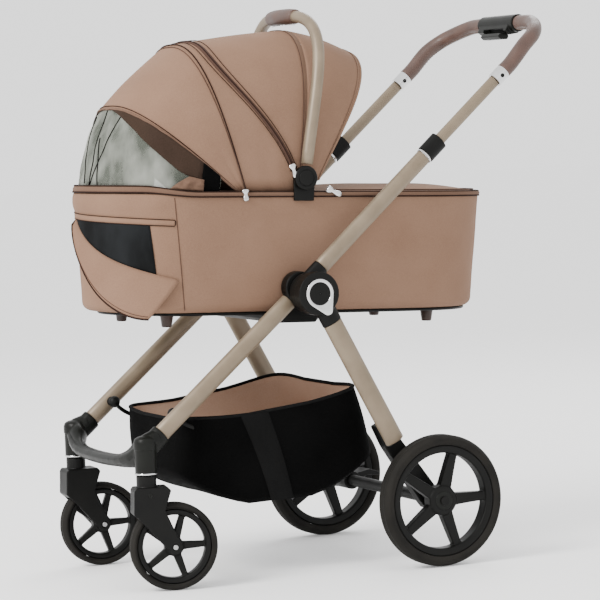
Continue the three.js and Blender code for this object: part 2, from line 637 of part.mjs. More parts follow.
// A hood hoop in the side view: foot and crown points, half width, and how square the hoop is.
const HOOPS = {
  brow: { foot: [-150, 743], crown: [-357, 907], half: 172, power: 0.72 },
  rib: { foot: [-134, 742.5], crown: [-222, 1034], half: 171, power: 0.74 },
  arch: { foot: [-18, 742], crown: [14, 1068], half: 170, power: 0.74, bulge: 6 },
  visor: { foot: [22, 764], crown: [134, 1030], half: 168, power: 0.74, bulge: 26 },
};

function hoopPoint(hoop, angle, inset = 0) {
  const { foot, crown, half, power, bulge = 0 } = hoop;
  const up = Math.sin(angle) ** power;
  const side = -Math.sign(Math.cos(angle)) * Math.abs(Math.cos(angle)) ** power;
  const dx = crown[0] - foot[0];
  const dz = crown[1] - foot[1];
  const length = Math.hypot(dx, dz);
  const rise = up * (1 - inset / length);
  const push = bulge * Math.sin(2 * Math.min(angle, Math.PI - angle));
  return [foot[0] + dx * rise + push, side * (half - inset), foot[1] + dz * rise];
}

function hoopRow(hoop, inset, columns = 16) {
  const row = [];
  for (let i = 0; i <= columns; i++) row.push(hoopPoint(hoop, (Math.PI * i) / columns, inset));
  return row;
}

const between = (a, b, t) => a.map((p, i) => p.map((v, k) => v + (b[i][k] - v) * t));

function hood() {
  const order = [HOOPS.brow, HOOPS.rib, HOOPS.arch, HOOPS.visor];
  const build = (inset) => {
    const rows = [];
    for (let h = 0; h + 1 < order.length; h++) {
      const [a, b] = [hoopRow(order[h], inset), hoopRow(order[h + 1], inset)];
      for (const t of [0, 0.5]) rows.push(between(a, b, t));
    }
    rows.push(hoopRow(order.at(-1), inset));
    return rows;
  };
  place("hood_fabric", shell(build(0), build(HOOD_THICKNESS)), M.fabric);

  // the ventilation net between the brow and the front rim
  const rim = [];
  const netEnd = -168; // stops short of the hood's foot, where the net still has some height
  const front = TUB.front + TUB.halfWidth;
  for (let i = 0; i <= 16; i++) {
    const a = rad(270 - (180 * i) / 16);
    const half = TUB.halfWidth - 9;
    const reach = i === 0 || i === 16 ? netEnd : front + half * Math.cos(a);
    rim.push([reach, half * Math.sin(a), TUB.rim + 1]);
  }
  const shrink = (row, by) => row.map(([x, y, z]) => [x + by * 1.2, y * (1 - by / 170), z]);
  const brow = hoopRow({ ...HOOPS.brow, foot: [-172, 751], crown: [-363, 900] }, 2);
  const outer = [rim, between(rim, brow, 0.5), brow];
  const inner = outer.map((row) => shrink(row, 4));
  place("front_net", shell(outer, inner), M.net);
}

function hoops() {
  const wire = (hoop, radius, inset) => {
    const points = [];
    for (let i = 0; i <= 20; i++) points.push(hoopPoint(hoop, (Math.PI * (i + 0.4)) / 20.8, inset));
    return sweep(points, oval(2 * radius, 2 * radius, 6), 26);
  };
  const brow = wire({ ...HOOPS.brow, foot: [-140, 756], crown: [-346, 906] }, 3, HOOD_THICKNESS + 9);
  const visor = wire({ ...HOOPS.visor, foot: [14, 776], crown: [126, 1030] }, 3, HOOD_THICKNESS + 10);
  place("hood_brow_hoop", brow, M.black);
  place("visor_hoop", visor, M.black);
}

// The carrying arch's centre line, between two shares of its half turn.
function archLine(from, to, steps) {
  const foot = [HUB[0] + 2, HUB[1]];
  const shape = { foot, crown: ARCH_TOP, half: ARCH_Y, power: 0.56, bulge: 13 };
  const angle = (i) => Math.PI * (from + ((to - from) * i) / steps);
  return Array.from({ length: steps + 1 }, (_, i) => hoopPoint(shape, angle(i)));
}

function carryArch() {
  const tube = (radius) => solid(sweep(archLine(0, 1, 24), oval(2 * radius, 2 * radius, 10), 30));
  let made = tube(ARCH_R);
  const inner = TUB.halfWidth + 7.4;
  for (const [, s] of SIDES) {
    const low = [[-120, 690], [90, 690], [90, 796], [-120, 796]];
    made = made.add(solid(disc(HUB, 24, s * inner, s * (ARCH_Y + ARCH_R - 0.5))));
    made = made.subtract(solid(disc(HUB, 8 + GAP, s * (inner - 2), s * (TUB.halfWidth + 15.5), 20)));
    made = made.subtract(solid(plate(low, s * 150, s * inner)));
  }
  place("carry_arch", made, M.frame);
  const sleeve = solid(sweep(archLine(0.463, 0.537, 4), oval(2 * ARCH_R + 8, 2 * ARCH_R + 8, 10), 4));
  place("carry_grip", sleeve.subtract(tube(ARCH_R + 1)), M.leather);
}

// A point near the cabin's front end: outside its wall, at an angle round the end and a height.
function frontEnd(angle, z, out) {
  const lean = (TUB.bottomInset * (TUB.rim - z)) / (TUB.rim - TUB.bottom);
  const radius = TUB.halfWidth - lean + out;
  const centre = TUB.front + TUB.halfWidth;
  return [centre + radius * Math.cos(rad(angle)), radius * Math.sin(rad(angle)), z];
}

// The ventilation window in the front end of the cabin.
function windowNet() {
  const face = (out) => {
    const rows = [];
    for (const z of [686, 638, 590])
      rows.push(Array.from({ length: 13 }, (_, i) => frontEnd(123 + (114 * i) / 12, z, out)));
    return rows;
  };
  place("window_net", shell(face(2.2), face(1.2)), M.net);
}

// The window's cover, unzipped from the left side and hanging outwards from a slanting fold.
// Angles are degrees round the front end; the cover is still zipped where the share is 0.
const FLAP = {
  zipped: 171.5, foldSweep: 86, freeSweep: 67,
  foldTop: 690, foldLow: 572.5, freeTop: 688, freeLow: 498,
  clear: 3, swing: 29, swingShape: 0.263, cloth: 2.4,
};
function windowFlap() {
  const point = (share, level, extra) => {
    const rest = 1 - share;
    const angle = FLAP.zipped + share * (FLAP.foldSweep + (FLAP.freeSweep - FLAP.foldSweep) * level);
    const steep = 0.55 * rest + 0.45 * rest ** 3.5;
    const fold = FLAP.foldLow + (FLAP.foldTop - FLAP.foldLow) * steep;
    const free = FLAP.freeLow + (FLAP.freeTop - FLAP.freeLow) * rest ** 2;
    const out = FLAP.clear + extra + FLAP.swing * share ** FLAP.swingShape * level ** 0.8;
    return frontEnd(angle, fold + (free - fold) * level, out);
  };
  const grid = (extra) =>
    Array.from({ length: 5 }, (_, r) =>
      Array.from({ length: 13 }, (_, i) => point(i / 12, r / 4, extra)));
  place("window_flap", shell(grid(FLAP.cloth), grid(0)), M.fabric);
}

frontLegs();
frontYoke();
casters();
rearLegs();
brakePedal();
handle();
barControls();
basket();
cabin();
rearCover();
hood();
hoops();
carryArch();
windowNet();
windowFlap();

const model = new THREE.Group();
model.add(layout, level);
model.position.x = ORIGIN_SHIFT_X;

export default model;
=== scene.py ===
import json
import math

import bpy
from mathutils import Matrix, Vector, noise


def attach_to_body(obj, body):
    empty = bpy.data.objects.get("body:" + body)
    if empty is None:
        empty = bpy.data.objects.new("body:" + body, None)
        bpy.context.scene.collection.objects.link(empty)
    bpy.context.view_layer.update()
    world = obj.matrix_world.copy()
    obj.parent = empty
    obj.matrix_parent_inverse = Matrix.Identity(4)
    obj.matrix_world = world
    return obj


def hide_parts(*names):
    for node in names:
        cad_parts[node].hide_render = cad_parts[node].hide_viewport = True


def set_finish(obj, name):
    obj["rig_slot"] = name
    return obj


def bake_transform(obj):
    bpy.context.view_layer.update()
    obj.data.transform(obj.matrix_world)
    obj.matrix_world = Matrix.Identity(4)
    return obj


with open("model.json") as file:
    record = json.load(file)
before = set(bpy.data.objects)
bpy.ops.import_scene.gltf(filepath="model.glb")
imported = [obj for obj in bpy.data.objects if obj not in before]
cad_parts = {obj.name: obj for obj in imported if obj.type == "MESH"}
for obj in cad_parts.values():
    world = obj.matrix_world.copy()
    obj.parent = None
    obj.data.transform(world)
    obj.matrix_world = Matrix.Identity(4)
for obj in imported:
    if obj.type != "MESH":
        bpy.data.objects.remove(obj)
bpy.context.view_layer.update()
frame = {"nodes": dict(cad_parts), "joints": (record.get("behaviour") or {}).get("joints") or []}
nodes = frame["nodes"]
joint = {j["name"]: j for j in frame["joints"]}
scene = bpy.context.scene


def joint_at(name):
    return Vector(joint[name]["pos_m"])


SIDES = (("left", -1), ("right", 1))
HUB_MM, HINGE_MM = (-16, 771), (-17, 546)
HUB, HINGE = joint_at("hood_fold"), joint_at("handle_fold")
UP = Vector(joint["cabin_lift"]["axis"])
BACK = Vector((UP.z, 0, -UP.x))
PLUMB = Vector((0, 0, 1))


def cab(x, y, z):
    """A layout point in millimetres, in the row frame."""
    side = Vector((0, y / 1000, 0))
    return HUB + ((x - HUB_MM[0]) * BACK + (z - HUB_MM[1]) * UP) / 1000 + side


def polar(start, degrees, distance):
    a = math.radians(degrees)
    return start[0] + math.cos(a) * distance, start[1] + math.sin(a) * distance


def smooth(t):
    t = min(1, max(0, t))
    return t * t * (3 - 2 * t)


def hump(t, power=1.0):
    """0 at both ends of the run from 0 to 1, and 1 at its middle."""
    return math.sin(math.pi * t) ** power


def shares(count):
    return [k / count for k in range(count + 1)]


def turn(count, shift=0.0):
    """Even angles round a circle."""
    return [(k + shift) * 2 * math.pi / count for k in range(count)]


def wave(x, y, z):
    return noise.noise(Vector((x, y, z)))


def metres(points):
    return [(r / 1000, t / 1000) for r, t in points]


# ---------------------------------------------------------------- materials
def base_material(name, roughness, metallic=0.0, level=0.5):
    made = bpy.data.materials.new(name)
    made.use_nodes = True
    shader = made.node_tree.nodes["Principled BSDF"]
    shader.inputs["Roughness"].default_value = roughness
    shader.inputs["Metallic"].default_value = metallic
    shader.inputs["Specular IOR Level"].default_value = level
    return made, made.node_tree, shader


def noise_node(tree, scale, detail=4.0, stretch=(1, 1, 1), kind="ShaderNodeTexNoise"):
    place = tree.nodes.new("ShaderNodeTexCoord")
    shape = tree.nodes.new("ShaderNodeMapping")
    shape.inputs["Scale"].default_value = stretch
    made = tree.nodes.new(kind)
    made.inputs["Scale"].default_value = scale
    if kind == "ShaderNodeTexNoise":
        made.inputs["Detail"].default_value = detail
    tree.links.new(place.outputs["Object"], shape.inputs["Vector"])
    tree.links.new(shape.outputs["Vector"], made.inputs["Vector"])
    return made


def ramp(tree, source, low, dark, high, light):
    made = tree.nodes.new("ShaderNodeValToRGB")
    for stop, position, color in zip(made.color_ramp.elements, (low, high), (dark, light)):
        stop.position = position
        stop.color = (*color, 1)
    tree.links.new(source, made.inputs["Fac"])
    return made.outputs["Color"]


def spread(tree, source, low, high):
    """Takes the middle of a noise's range to the run from low to high."""
    made = tree.nodes.new("ShaderNodeMapRange")
    for name, value in (("From Min", 0.3), ("From Max", 0.7), ("To Min", low), ("To Max", high)):
        made.inputs[name].default_value = value
    tree.links.new(source, made.inputs["Value"])
    return made.outputs["Result"]


def bump(tree, shader, sources):
    """Stacks (source, strength, distance) bumps."""
    last = None
    for source, strength, distance in sources:
        made = tree.nodes.new("ShaderNodeBump")
        made.inputs["Strength"].default_value = strength
        made.inputs["Distance"].default_value = distance
        tree.links.new(source, made.inputs["Height"])
        if last:
            tree.links.new(last, made.inputs["Normal"])
        last = made.outputs["Normal"]
    tree.links.new(last, shader.inputs["Normal"])


def maths(tree, operation, *values):
    """A maths node; each value is a number or another node's output."""
    made = tree.nodes.new("ShaderNodeMath")
    made.operation = operation
    for socket, value in zip(made.inputs, values):
        if isinstance(value, float):
            socket.default_value = value
        else:
            tree.links.new(value, socket)
    return made.outputs["Value"]


def weave_height(tree, pitch):
    """Crossing threads: three band patterns, one to an axis, so that every face shows two."""
    bands = []
    for axis in "XYZ":
        place = tree.nodes.new("ShaderNodeTexCoord")
        threads = tree.nodes.new("ShaderNodeTexWave")
        threads.bands_direction = axis
        threads.inputs["Scale"].default_value = 1 / pitch / 3.2
        threads.inputs["Distortion"].default_value = 0.6
        threads.inputs["Detail"].default_value = 1
        tree.links.new(place.outputs["Object"], threads.inputs["Vector"])
        bands.append(threads.outputs["Fac"])
    return maths(tree, "ADD", maths(tree, "ADD", bands[0], bands[1]), bands[2])


def cloth(name, dark, light, pitch=0.0011, roughness=0.85, sheen=0.12, bite=0.25, level=0.18):
    made, tree, shader = base_material(name, roughness, level=level)
    shader.inputs["Sheen Weight"].default_value = sheen
    shader.inputs["Sheen Roughness"].default_value = 0.5
    shader.inputs["Sheen Tint"].default_value = (*[min(1, c * 1.6) for c in light], 1)
    heather = noise_node(tree, 420, 6).outputs["Fac"]
    blotch = noise_node(tree, 9, 3).outputs["Fac"]
    mix = maths(tree, "MULTIPLY_ADD", blotch, 0.45, maths(tree, "MULTIPLY", heather, 0.55))
    tree.links.new(ramp(tree, mix, 0.36, dark, 0.64, light), shader.inputs["Base Color"])
    tree.links.new(spread(tree, heather, roughness - 0.08, roughness + 0.08), shader.inputs["Roughness"])
    crease = noise_node(tree, 26, 4, (1, 1, 0.5)).outputs["Fac"]
    bump(tree, shader, [(weave_height(tree, pitch), bite, 0.0002), (heather, bite, 0.0003),
                        (crease, 0.12, 0.003)])
    return made


def hard(name, dark, light, rough=(0.4, 0.5), metallic=0.0, grain=900, bite=0.12, level=0.5):
    made, tree, shader = base_material(name, rough[0], metallic, level)
    fine = noise_node(tree, grain, 3).outputs["Fac"]
    wide = noise_node(tree, 22, 4).outputs["Fac"]
    tree.links.new(ramp(tree, wide, 0.35, dark, 0.68, light), shader.inputs["Base Color"])
    tree.links.new(spread(tree, wide, *rough), shader.inputs["Roughness"])
    bump(tree, shader, [(fine, bite, 0.0002)])
    return made


def leather_material(name, dark, light):
    made, tree, shader = base_material(name, 0.5)
    shader.inputs["Coat Weight"].default_value = 0.08
    pores = noise_node(tree, 330, kind="ShaderNodeTexVoronoi").outputs["Distance"]
    wide = noise_node(tree, 30, 5).outputs["Fac"]
    tree.links.new(ramp(tree, wide, 0.3, dark, 0.7, light), shader.inputs["Base Color"])
    tree.links.new(spread(tree, wide, 0.42, 0.62), shader.inputs["Roughness"])
    bump(tree, shader, [(pores, 0.35, 0.0005), (wide, 0.15, 0.002)])
    return made


def mesh_net(name, dark, light, alpha):
    made, tree, shader = base_material(name, 0.8, level=0.1)
    cells = noise_node(tree, 800, kind="ShaderNodeTexVoronoi").outputs["Distance"]
    folds = noise_node(tree, 13, 6, (1, 1, 0.45)).outputs["Fac"]
    tree.links.new(ramp(tree, folds, 0.4, dark, 0.6, light), shader.inputs["Base Color"])
    tree.links.new(spread(tree, folds, *alpha), shader.inputs["Alpha"])
    bump(tree, shader, [(cells, 0.4, 0.0004), (folds, 0.5, 0.006)])
    return made


def grey(value):
    return value, value, value


FINISH = {
    "fabric": cloth("taupe_fabric", (0.168, 0.096, 0.062), (0.204, 0.121, 0.080)),
    # inner: a much darker copy of the taupe fabric, in the fabric slot, painted shade for the cloth's inside
    # faces and the lining under the brow
    "inner": cloth("inner_painted_shade_fabric", (0.025, 0.016, 0.0115), (0.037, 0.023, 0.017), level=0.05),
    "band": cloth("rim_fabric", (0.098, 0.055, 0.036), (0.126, 0.073, 0.049)),
    "piping": cloth("brown_piping", (0.014, 0.007, 0.005), (0.024, 0.012, 0.009), bite=0.4, level=0.08),
    "tape": cloth("zip_tape", (0.050, 0.026, 0.018), (0.072, 0.038, 0.027), bite=0.5),
    "taupe": cloth("basket_lining", (0.40, 0.262, 0.187), (0.46, 0.318, 0.236)),
    "lining": cloth("black_weave", grey(0.0012), grey(0.003), 0.0016, 0.92, 0.004, 0.5, 0.03),
    "strap": cloth("black_webbing", grey(0.003), grey(0.006), 0.0018, 0.85, 0.008, 0.6, 0.06),
    "frame": hard("champagne_metal", (0.162, 0.122, 0.080), (0.200, 0.154, 0.104), (0.40, 0.50), 0.25, 1500,
                  0.05),
    "black": hard("black_plastic", (0.0018, 0.0018, 0.0016), (0.0035, 0.0035, 0.003), (0.40, 0.52),
                  grain=1300, bite=0.2, level=0.14),
    "graphite": hard("graphite_plastic", (0.0045, 0.0048, 0.004), (0.0075, 0.008, 0.0068), (0.34, 0.46),
                     grain=1300, bite=0.15, level=0.12),
    "tyre": hard("tyre_rubber", (0.0085, 0.0078, 0.0068), (0.015, 0.0138, 0.012), (0.72, 0.85),
                 grain=700, bite=0.35, level=0.12),
    "chrome": hard("bright_metal", grey(0.55), grey(0.68), (0.12, 0.24), 1.0, 500, 0.03),
    "steel": hard("pin_steel", grey(0.3), grey(0.4), (0.25, 0.4), 1.0, 500, 0.05),
    "leather": leather_material("brown_leather", (0.044, 0.020, 0.013), (0.080, 0.040, 0.028)),
    "brown": hard("brown_feet", (0.014, 0.006, 0.004), (0.024, 0.011, 0.007), (0.35, 0.5),
                  grain=600, bite=0.2, level=0.3),
    "net": mesh_net("front_net_mesh", (0.075, 0.082, 0.068), (0.30, 0.31, 0.275), (0.85, 0.50)),
    # window: a near-black, almost opaque copy of the net, partly the black net and partly painted shade of
    # the cabin's inside behind it
    "window": mesh_net("window_net_and_shade_mesh", (0.002, 0.0022, 0.0024), (0.009, 0.010, 0.011), (1.0, 0.97)),
    "thread": cloth("pale_thread", (0.11, 0.068, 0.048), (0.15, 0.10, 0.073)),
}
SLOT = {
    "inner": "fabric", "band": "fabric", "piping": "brown", "tape": "brown", "taupe": "fabric",
    "strap": "lining", "window": "net", "thread": "leather",
}  # every other finish has a slot of its own name


# ---------------------------------------------------------------- mesh helpers
def slot(made, finish):
    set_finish(made, SLOT.get(finish, finish))


def attach(made, body, stands_for=None):
    """Gives a piece its body, and hides the CAD node that it stands for."""
    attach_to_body(made, body)
    if stands_for:
        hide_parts(stands_for)
    return made


def smooth_shade(data):
    data.polygons.foreach_set("use_smooth", [True] * len(data.polygons))


def mesh(name, points, faces, finish):
    data = bpy.data.meshes.new(name)
    data.from_pydata([tuple(p) for p in points], [], faces)
    data.update()
    made = bpy.data.objects.new(name, data)
    scene.collection.objects.link(made)
    data.materials.append(FINISH[finish])
    slot(made, finish)
    smooth_shade(data)
    return made


def grid_faces(rows, columns, closed=False):
    faces = []
    for a in range(0, (rows - 1) * columns, columns):
        for c in range(columns if closed else columns - 1):
            d = (c + 1) % columns
            faces.append((a + c, a + d, a + columns + d, a + columns + c))
    return faces


def grid(name, rows, finish, closed=False):
    return mesh(name, [p for row in rows for p in row], grid_faces(len(rows), len(rows[0]), closed), finish)


def bake(made):
    """Applies the modifiers, so that the mesh is final."""
    graph = bpy.context.evaluated_depsgraph_get()
    data = bpy.data.meshes.new_from_object(made.evaluated_get(graph))
    made.modifiers.clear()
    made.data = data
    return made


def thicken(made, thickness, inside=None, offset=-1, middle=(-60, 0, 700)):
    """Turns a sheet's faces away from the middle and gives it its thickness inwards; inside is the
    finish of its inner side, where that is another one."""
    inner_point = cab(*middle)
    if sum((f.center - inner_point).dot(f.normal) * f.area for f in made.data.polygons) < 0:
        made.data.flip_normals()
    solid = made.modifiers.new("thickness", "SOLIDIFY")
    solid.thickness = thickness
    solid.offset = offset
    if inside:
        made.data.materials.append(FINISH[inside])
        solid.material_offset = 1
    return bake(made)


def cabin_cloth(name, rows, finish, thickness, stands_for=None, **how):
    """A cloth that rides on the cabin."""
    return attach(thicken(grid(name, rows, finish), thickness, **how), "cabin", stands_for)


def tube(name, points, radius, finish, sides=10, closed=False, flat=1.0, side=None):
    """A round or flattened bar along points; radius is one number or one to a point."""
    points = [Vector(p) for p in points]
    count = len(points)
    radii = radius if hasattr(radius, "__len__") else [radius] * count
    rings, across = [], Vector(side) if side else None
    for i, p in enumerate(points):
        before = points[i - 1] if i or closed else p
        after = points[(i + 1) % count] if i + 1 < count or closed else p
        ahead = (after - before).normalized()
        if across is None:
            across = PLUMB if abs(ahead.z) < 0.9 else Vector((0, 1, 0))
        across = (across - ahead * across.dot(ahead)).normalized()
        other = ahead.cross(across)
        rings.append([p + radii[i] * (math.cos(a) * across + flat * math.sin(a) * other)
                      for a in turn(sides)])
    faces = grid_faces(count, sides, True)
    last = (count - 1) * sides
    if closed:
        faces += [(last + c, last + (c + 1) % sides, (c + 1) % sides, c) for c in range(sides)]
    else:
        faces += [tuple(range(sides))[::-1], tuple(range(last, last + sides))]
    return mesh(name, [q for ring in rings for q in ring], faces, finish)


def lathe(name, profile, centre, axis, finish, segments=72):
    """Turns (radius, distance along the axis) points, in metres, about an axis."""
    axis = Vector(axis).normalized()
    u = axis.cross(PLUMB if abs(axis.z) < 0.9 else Vector((1, 0, 0))).normalized()
    v = axis.cross(u)
    rows = [[Vector(centre) + axis * t + r * (math.cos(a) * u + math.sin(a) * v) for a in turn(segments)]
            for r, t in profile]
    return grid(name, rows, finish, closed=True)


def catmull(points, steps):
    """A smooth line through points, with its ends repeated."""
    spine = [points[0]] + list(points) + [points[-1]]
    line = []
    for a, b, c, d in zip(spine, spine[1:], spine[2:], spine[3:]):
        if (c - b).length < 1e-6:
            continue
        for t in shares(steps)[:-1]:
            line.append(0.5 * (2 * b + (c - a) * t + (2 * a - 5 * b + 4 * c - d) * t * t
                               + (3 * b - a - 3 * c + d) * t ** 3))
    return line + [points[-1]]


def join(name, parts):
    """Several meshes as one, keeping each one's finish."""
    points, faces, finishes, chosen = [], [], [], []
    for part in parts:
        start = len(points)
        points += [tuple(v.co) for v in part.data.vertices]
        for polygon in part.data.polygons:
            faces.append(tuple(start + i for i in polygon.vertices))
            finish = part.data.materials[polygon.material_index]
            if finish not in finishes:
                finishes.append(finish)
            chosen.append(finishes.index(finish))
    first_slot = parts[0].get("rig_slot")
    data = bpy.data.meshes.new(name)
    data.from_pydata(points, [], faces)
    for finish in finishes:
        data.materials.append(finish)
    data.polygons.foreach_set("material_index", chosen)
    smooth_shade(data)
    for part in parts:
        bpy.data.objects.remove(part)
    made = bpy.data.objects.new(name, data)
    scene.collection.objects.link(made)
    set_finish(made, first_slot)
    return made


def fuse(made, voxel, rounds):
    """One moulded piece with soft edges."""
    remesh = made.modifiers.new("fuse", "REMESH")
    remesh.mode = "VOXEL"
    remesh.voxel_size = voxel
    remesh.use_smooth_shade = True
    soften = made.modifiers.new("soften", "SMOOTH")
    soften.factor = 0.5
    soften.iterations = rounds
    return made


def finished(name, finish):
    """A CAD piece, which keeps its shape, in its finish."""
    made = nodes[name]
    made.data.materials.clear()
    made.data.materials.append(FINISH[finish])
    slot(made, finish)
    smooth_shade(made.data)
    return made


def moulded(name, finish, voxel, rounds=4):
    fuse(finished(name, finish), voxel * (1), rounds)


def machined(name, finish, bevel=0.0012):
    made = finished(name, finish)
    weld = made.modifiers.new("weld", "WELD")
    weld.merge_threshold = 0.0001
    flat = made.modifiers.new("flat", "DECIMATE")
    flat.decimate_type = "DISSOLVE"
    flat.angle_limit = math.radians(1)
    edge = made.modifiers.new("edge", "BEVEL")
    edge.width = bevel
    edge.segments = 2
    edge.limit_method = "ANGLE"
    edge.angle_limit = math.radians(35)
    normal = made.modifiers.new("normal", "WEIGHTED_NORMAL")
    normal.keep_sharp = False


# ---------------------------------------------------------------- cabin, in layout millimetres
TUB = {"front": -237, "rear": 268, "half": 180, "low": 508, "rim": 741, "inset": 17, "round": 16}
HEADER = {"low": 703, "depth": 38, "bulge": 4.5}
FLAP = {"zipped": 171.5, "fold_sweep": 86, "free_sweep": 67, "fold_low": 572.5, "fold_rise": 117.5,
        "free_low": 498, "free_rise": 190, "clear": 3.4, "swing": 29}
LOOP = (
    [("front", a) for a in range(90, 270, 4)]
    + [("left", x) for x in range(TUB["front"], TUB["rear"], 24)]
    + [("rear", a) for a in range(-90, 90, 6)]
    + [("right", x) for x in range(TUB["rear"], TUB["front"], -24)]
)


def loop_point(spot, z, out=0.0):
    """A point on the cabin's wall, out millimetres clear of it."""
    kind, value = spot
    lean = TUB["inset"] * (TUB["rim"] - z) / (TUB["rim"] - TUB["low"])
    radius = TUB["half"] - lean + out
    if kind == "left":
        return value, -radius, z
    if kind == "right":
        return value, radius, z
    a = math.radians(value)
    return TUB[kind] + radius * math.cos(a), radius * math.sin(a), z


def wall_ring(z, out):
    return [cab(*loop_point(spot, z, out)) for spot in LOOP]


def past_corner(spot):
    """Degrees round the cabin's front from its nearer corner; none along its sides and rear."""
    return min(spot[1] - 90, 270 - spot[1]) if spot[0] == "front" else 0


def frontness(spot):
    """1 round the cabin's front, 0 along its sides and rear."""
    return smooth(past_corner(spot) / 38)


def header_bulge(spot, z):
    """The padded header above the window."""
    if spot[0] != "front" or not HEADER["low"] < z < TUB["rim"]:
        return 0.0
    reach = smooth((past_corner(spot) - 14) / 14)
    return HEADER["bulge"] * reach * hump((z - HEADER["low"]) / HEADER["depth"], 0.7)


def tub():
    corner = TUB["round"]
    levels = []
    for phi in (math.radians(18 * i) for i in range(6)):
        levels.append((TUB["low"] + corner * (1 - math.cos(phi)), -corner * (1 - math.sin(phi))))
    levels += [(z, 0) for z in (*range(530, 731, 8), 734, 738, 741)]
    rows = [wall_ring(TUB["low"], -corner - inset) for inset in (146, 80, 30)]
    for z, inset in levels:
        row = []
        for spot in LOOP:
            out = inset + header_bulge(spot, z)
            x, y, _ = loop_point(spot, z, out)
            slow, quick = 0.011, 0.03
            ripple = 0.9 * wave(x * slow, y * slow, z * slow)
            ripple += 0.35 * wave(x * quick, y * quick, 2 * z * quick)
            row.append(cab(*loop_point(spot, z, out + ripple)))
        rows.append(row)
    # the shell's inner side takes the inner finish, painted shade
    attach(thicken(grid("cabin_shell", rows, "fabric", closed=True), 0.006, "inner"), "cabin", "cabin_tub")


def band_levels(spot):
    """The rim band's lower and upper edge, which rise round the front."""
    share = frontness(spot)
    return 734.5 + 8.5 * share, 743.5 + 12.0 * share


def rim():
    rows = []
    for level in (0, 0.2, 0.5, 0.8, 1):
        row = []
        for spot in LOOP:
            low, high = band_levels(spot)
            out = 1.2 + 2.2 * hump(level) - 3.5 * level * frontness(spot)
            row.append(cab(*loop_point(spot, low + (high - low) * level, out)))
        rows.append(row)
    inward = [cab(*loop_point(spot, band_levels(spot)[1] - 1, -7)) for spot in LOOP]
    attach(grid("rim_band", rows + [inward], "band", closed=True), "cabin")
    for name, which, out in (("rim_piping_low", 0, 2.0), ("rim_piping_high", 1, 0.2)):
        line = [cab(*loop_point(s, band_levels(s)[which], out - 2.5 * which * frontness(s))) for s in LOOP]
        attach(tube(name, line, 0.0016, "piping", 8, closed=True), "cabin")


def seams():
    top, drop = 733, 219
    for name, end, high, low, out, count in (
        ("left", "front", 254, 261.5, 0.5, 16),
        ("right", "front", 106, 98.5, 0.5, 16),
        ("rear", "rear", 0, 0, 0.4, 12),
    ):
        line = [cab(*loop_point((end, high + (low - high) * t), top - drop * t, out)) for t in shares(count)]
        attach(tube(f"tub_seam_{name}", line, 0.0008, "tape", 6), "cabin")


def strip_top(angle):
    """The upper edge of the zip strip, which falls from the cabin's right side to its left."""
    return HEADER["low"] - 13.5 * (angle - 154) / 100


def fold_height(rest):
    """The slanting fold that the flap hangs from; rest is 1 at its high, zipped end."""
    return FLAP["fold_low"] + FLAP["fold_rise"] * (0.55 * rest + 0.45 * rest ** 3.5)


def zip_strip():
    """The zip strip over the window, with its square end."""
    def strip(angle, down, out):
        return cab(*loop_point(("front", angle), strip_top(angle) - down, out))

    angles = list(range(106, 255, 2))
    rows = [[strip(a, down, out) for a in angles]
            for down, out in ((0, 0.6), (0.6, 2.0), (10.8, 2.0), (11.4, 0.6))]
    attach(grid("window_strip", rows, "fabric"), "cabin")
    edge = [strip(a, -0.2, 1.8) for a in angles] + [strip(254.6, down, 1.8) for down in (2, 5, 8)]
    edge += [strip(a, 11.6, 1.8) for a in angles[::-1]]
    attach(tube("window_strip_edge", edge, 0.0009, "piping", 6), "cabin")


def window():
    """The side window's net, down to the slanting fold; its near-black, almost opaque colour is partly the
    black net and partly painted shade of the cabin's inside behind it.
    """
    start, top_sweep, low_sweep = 168, 70.5, 74.5
    rows = []
    for t in shares(13):
        row = []
        for share in shares(40):
            angle = start + (top_sweep + (low_sweep - top_sweep) * t) * share
            rest = min(1, max(0, (FLAP["zipped"] + FLAP["fold_sweep"] - angle) / FLAP["fold_sweep"]))
            high, low = strip_top(angle) - 11, fold_height(rest) - 3
            z = high + (low - high) * t
            row.append(cab(*loop_point(("front", angle), z, 1.6 + 0.48 * wave(angle * 0.06, z * 0.02, 1))))
        rows.append(row)
    net = cabin_cloth("window_mesh", rows, "window", 0.0006, "window_net")


def flap_point(share, level, extra=0.0):
    """A point of the open flap: share runs from its zipped end, level from its fold to its free edge."""
    rest = 1 - share
    angle = FLAP["zipped"] + share * (FLAP["fold_sweep"] + (FLAP["free_sweep"] - FLAP["fold_sweep"]) * level)
    fold = fold_height(rest)
    free = FLAP["free_low"] + FLAP["free_rise"] * rest ** 2
    slack = 3.0 * hump(level) * hump(share) + 1.4 * wave(share * 5, level * 3, 4) * level
    out = FLAP["clear"] + extra + FLAP["swing"] * share ** 0.3 * level ** 0.8 + slack
    return loop_point(("front", angle), fold + (free - fold) * level, out)


def flap():
    rows = [[cab(*flap_point(share, level)) for share in shares(28)] for level in shares(14)]
    cover = cabin_cloth("window_cover", rows, "fabric", 0.0022, "window_flap", offset=0)
    edge = [cab(*flap_point(share, 1, 0.4)) for share in shares(40)]
    piping = attach(tube("window_cover_piping", edge, 0.0019, "piping", 8), "cabin")
    hem = [cab(*flap_point(share, 0.93, 1.6)) for share in shares(40)[1:-1]]
    seam = attach(tube("window_cover_seam", hem, 0.0006, "tape", 6), "cabin")


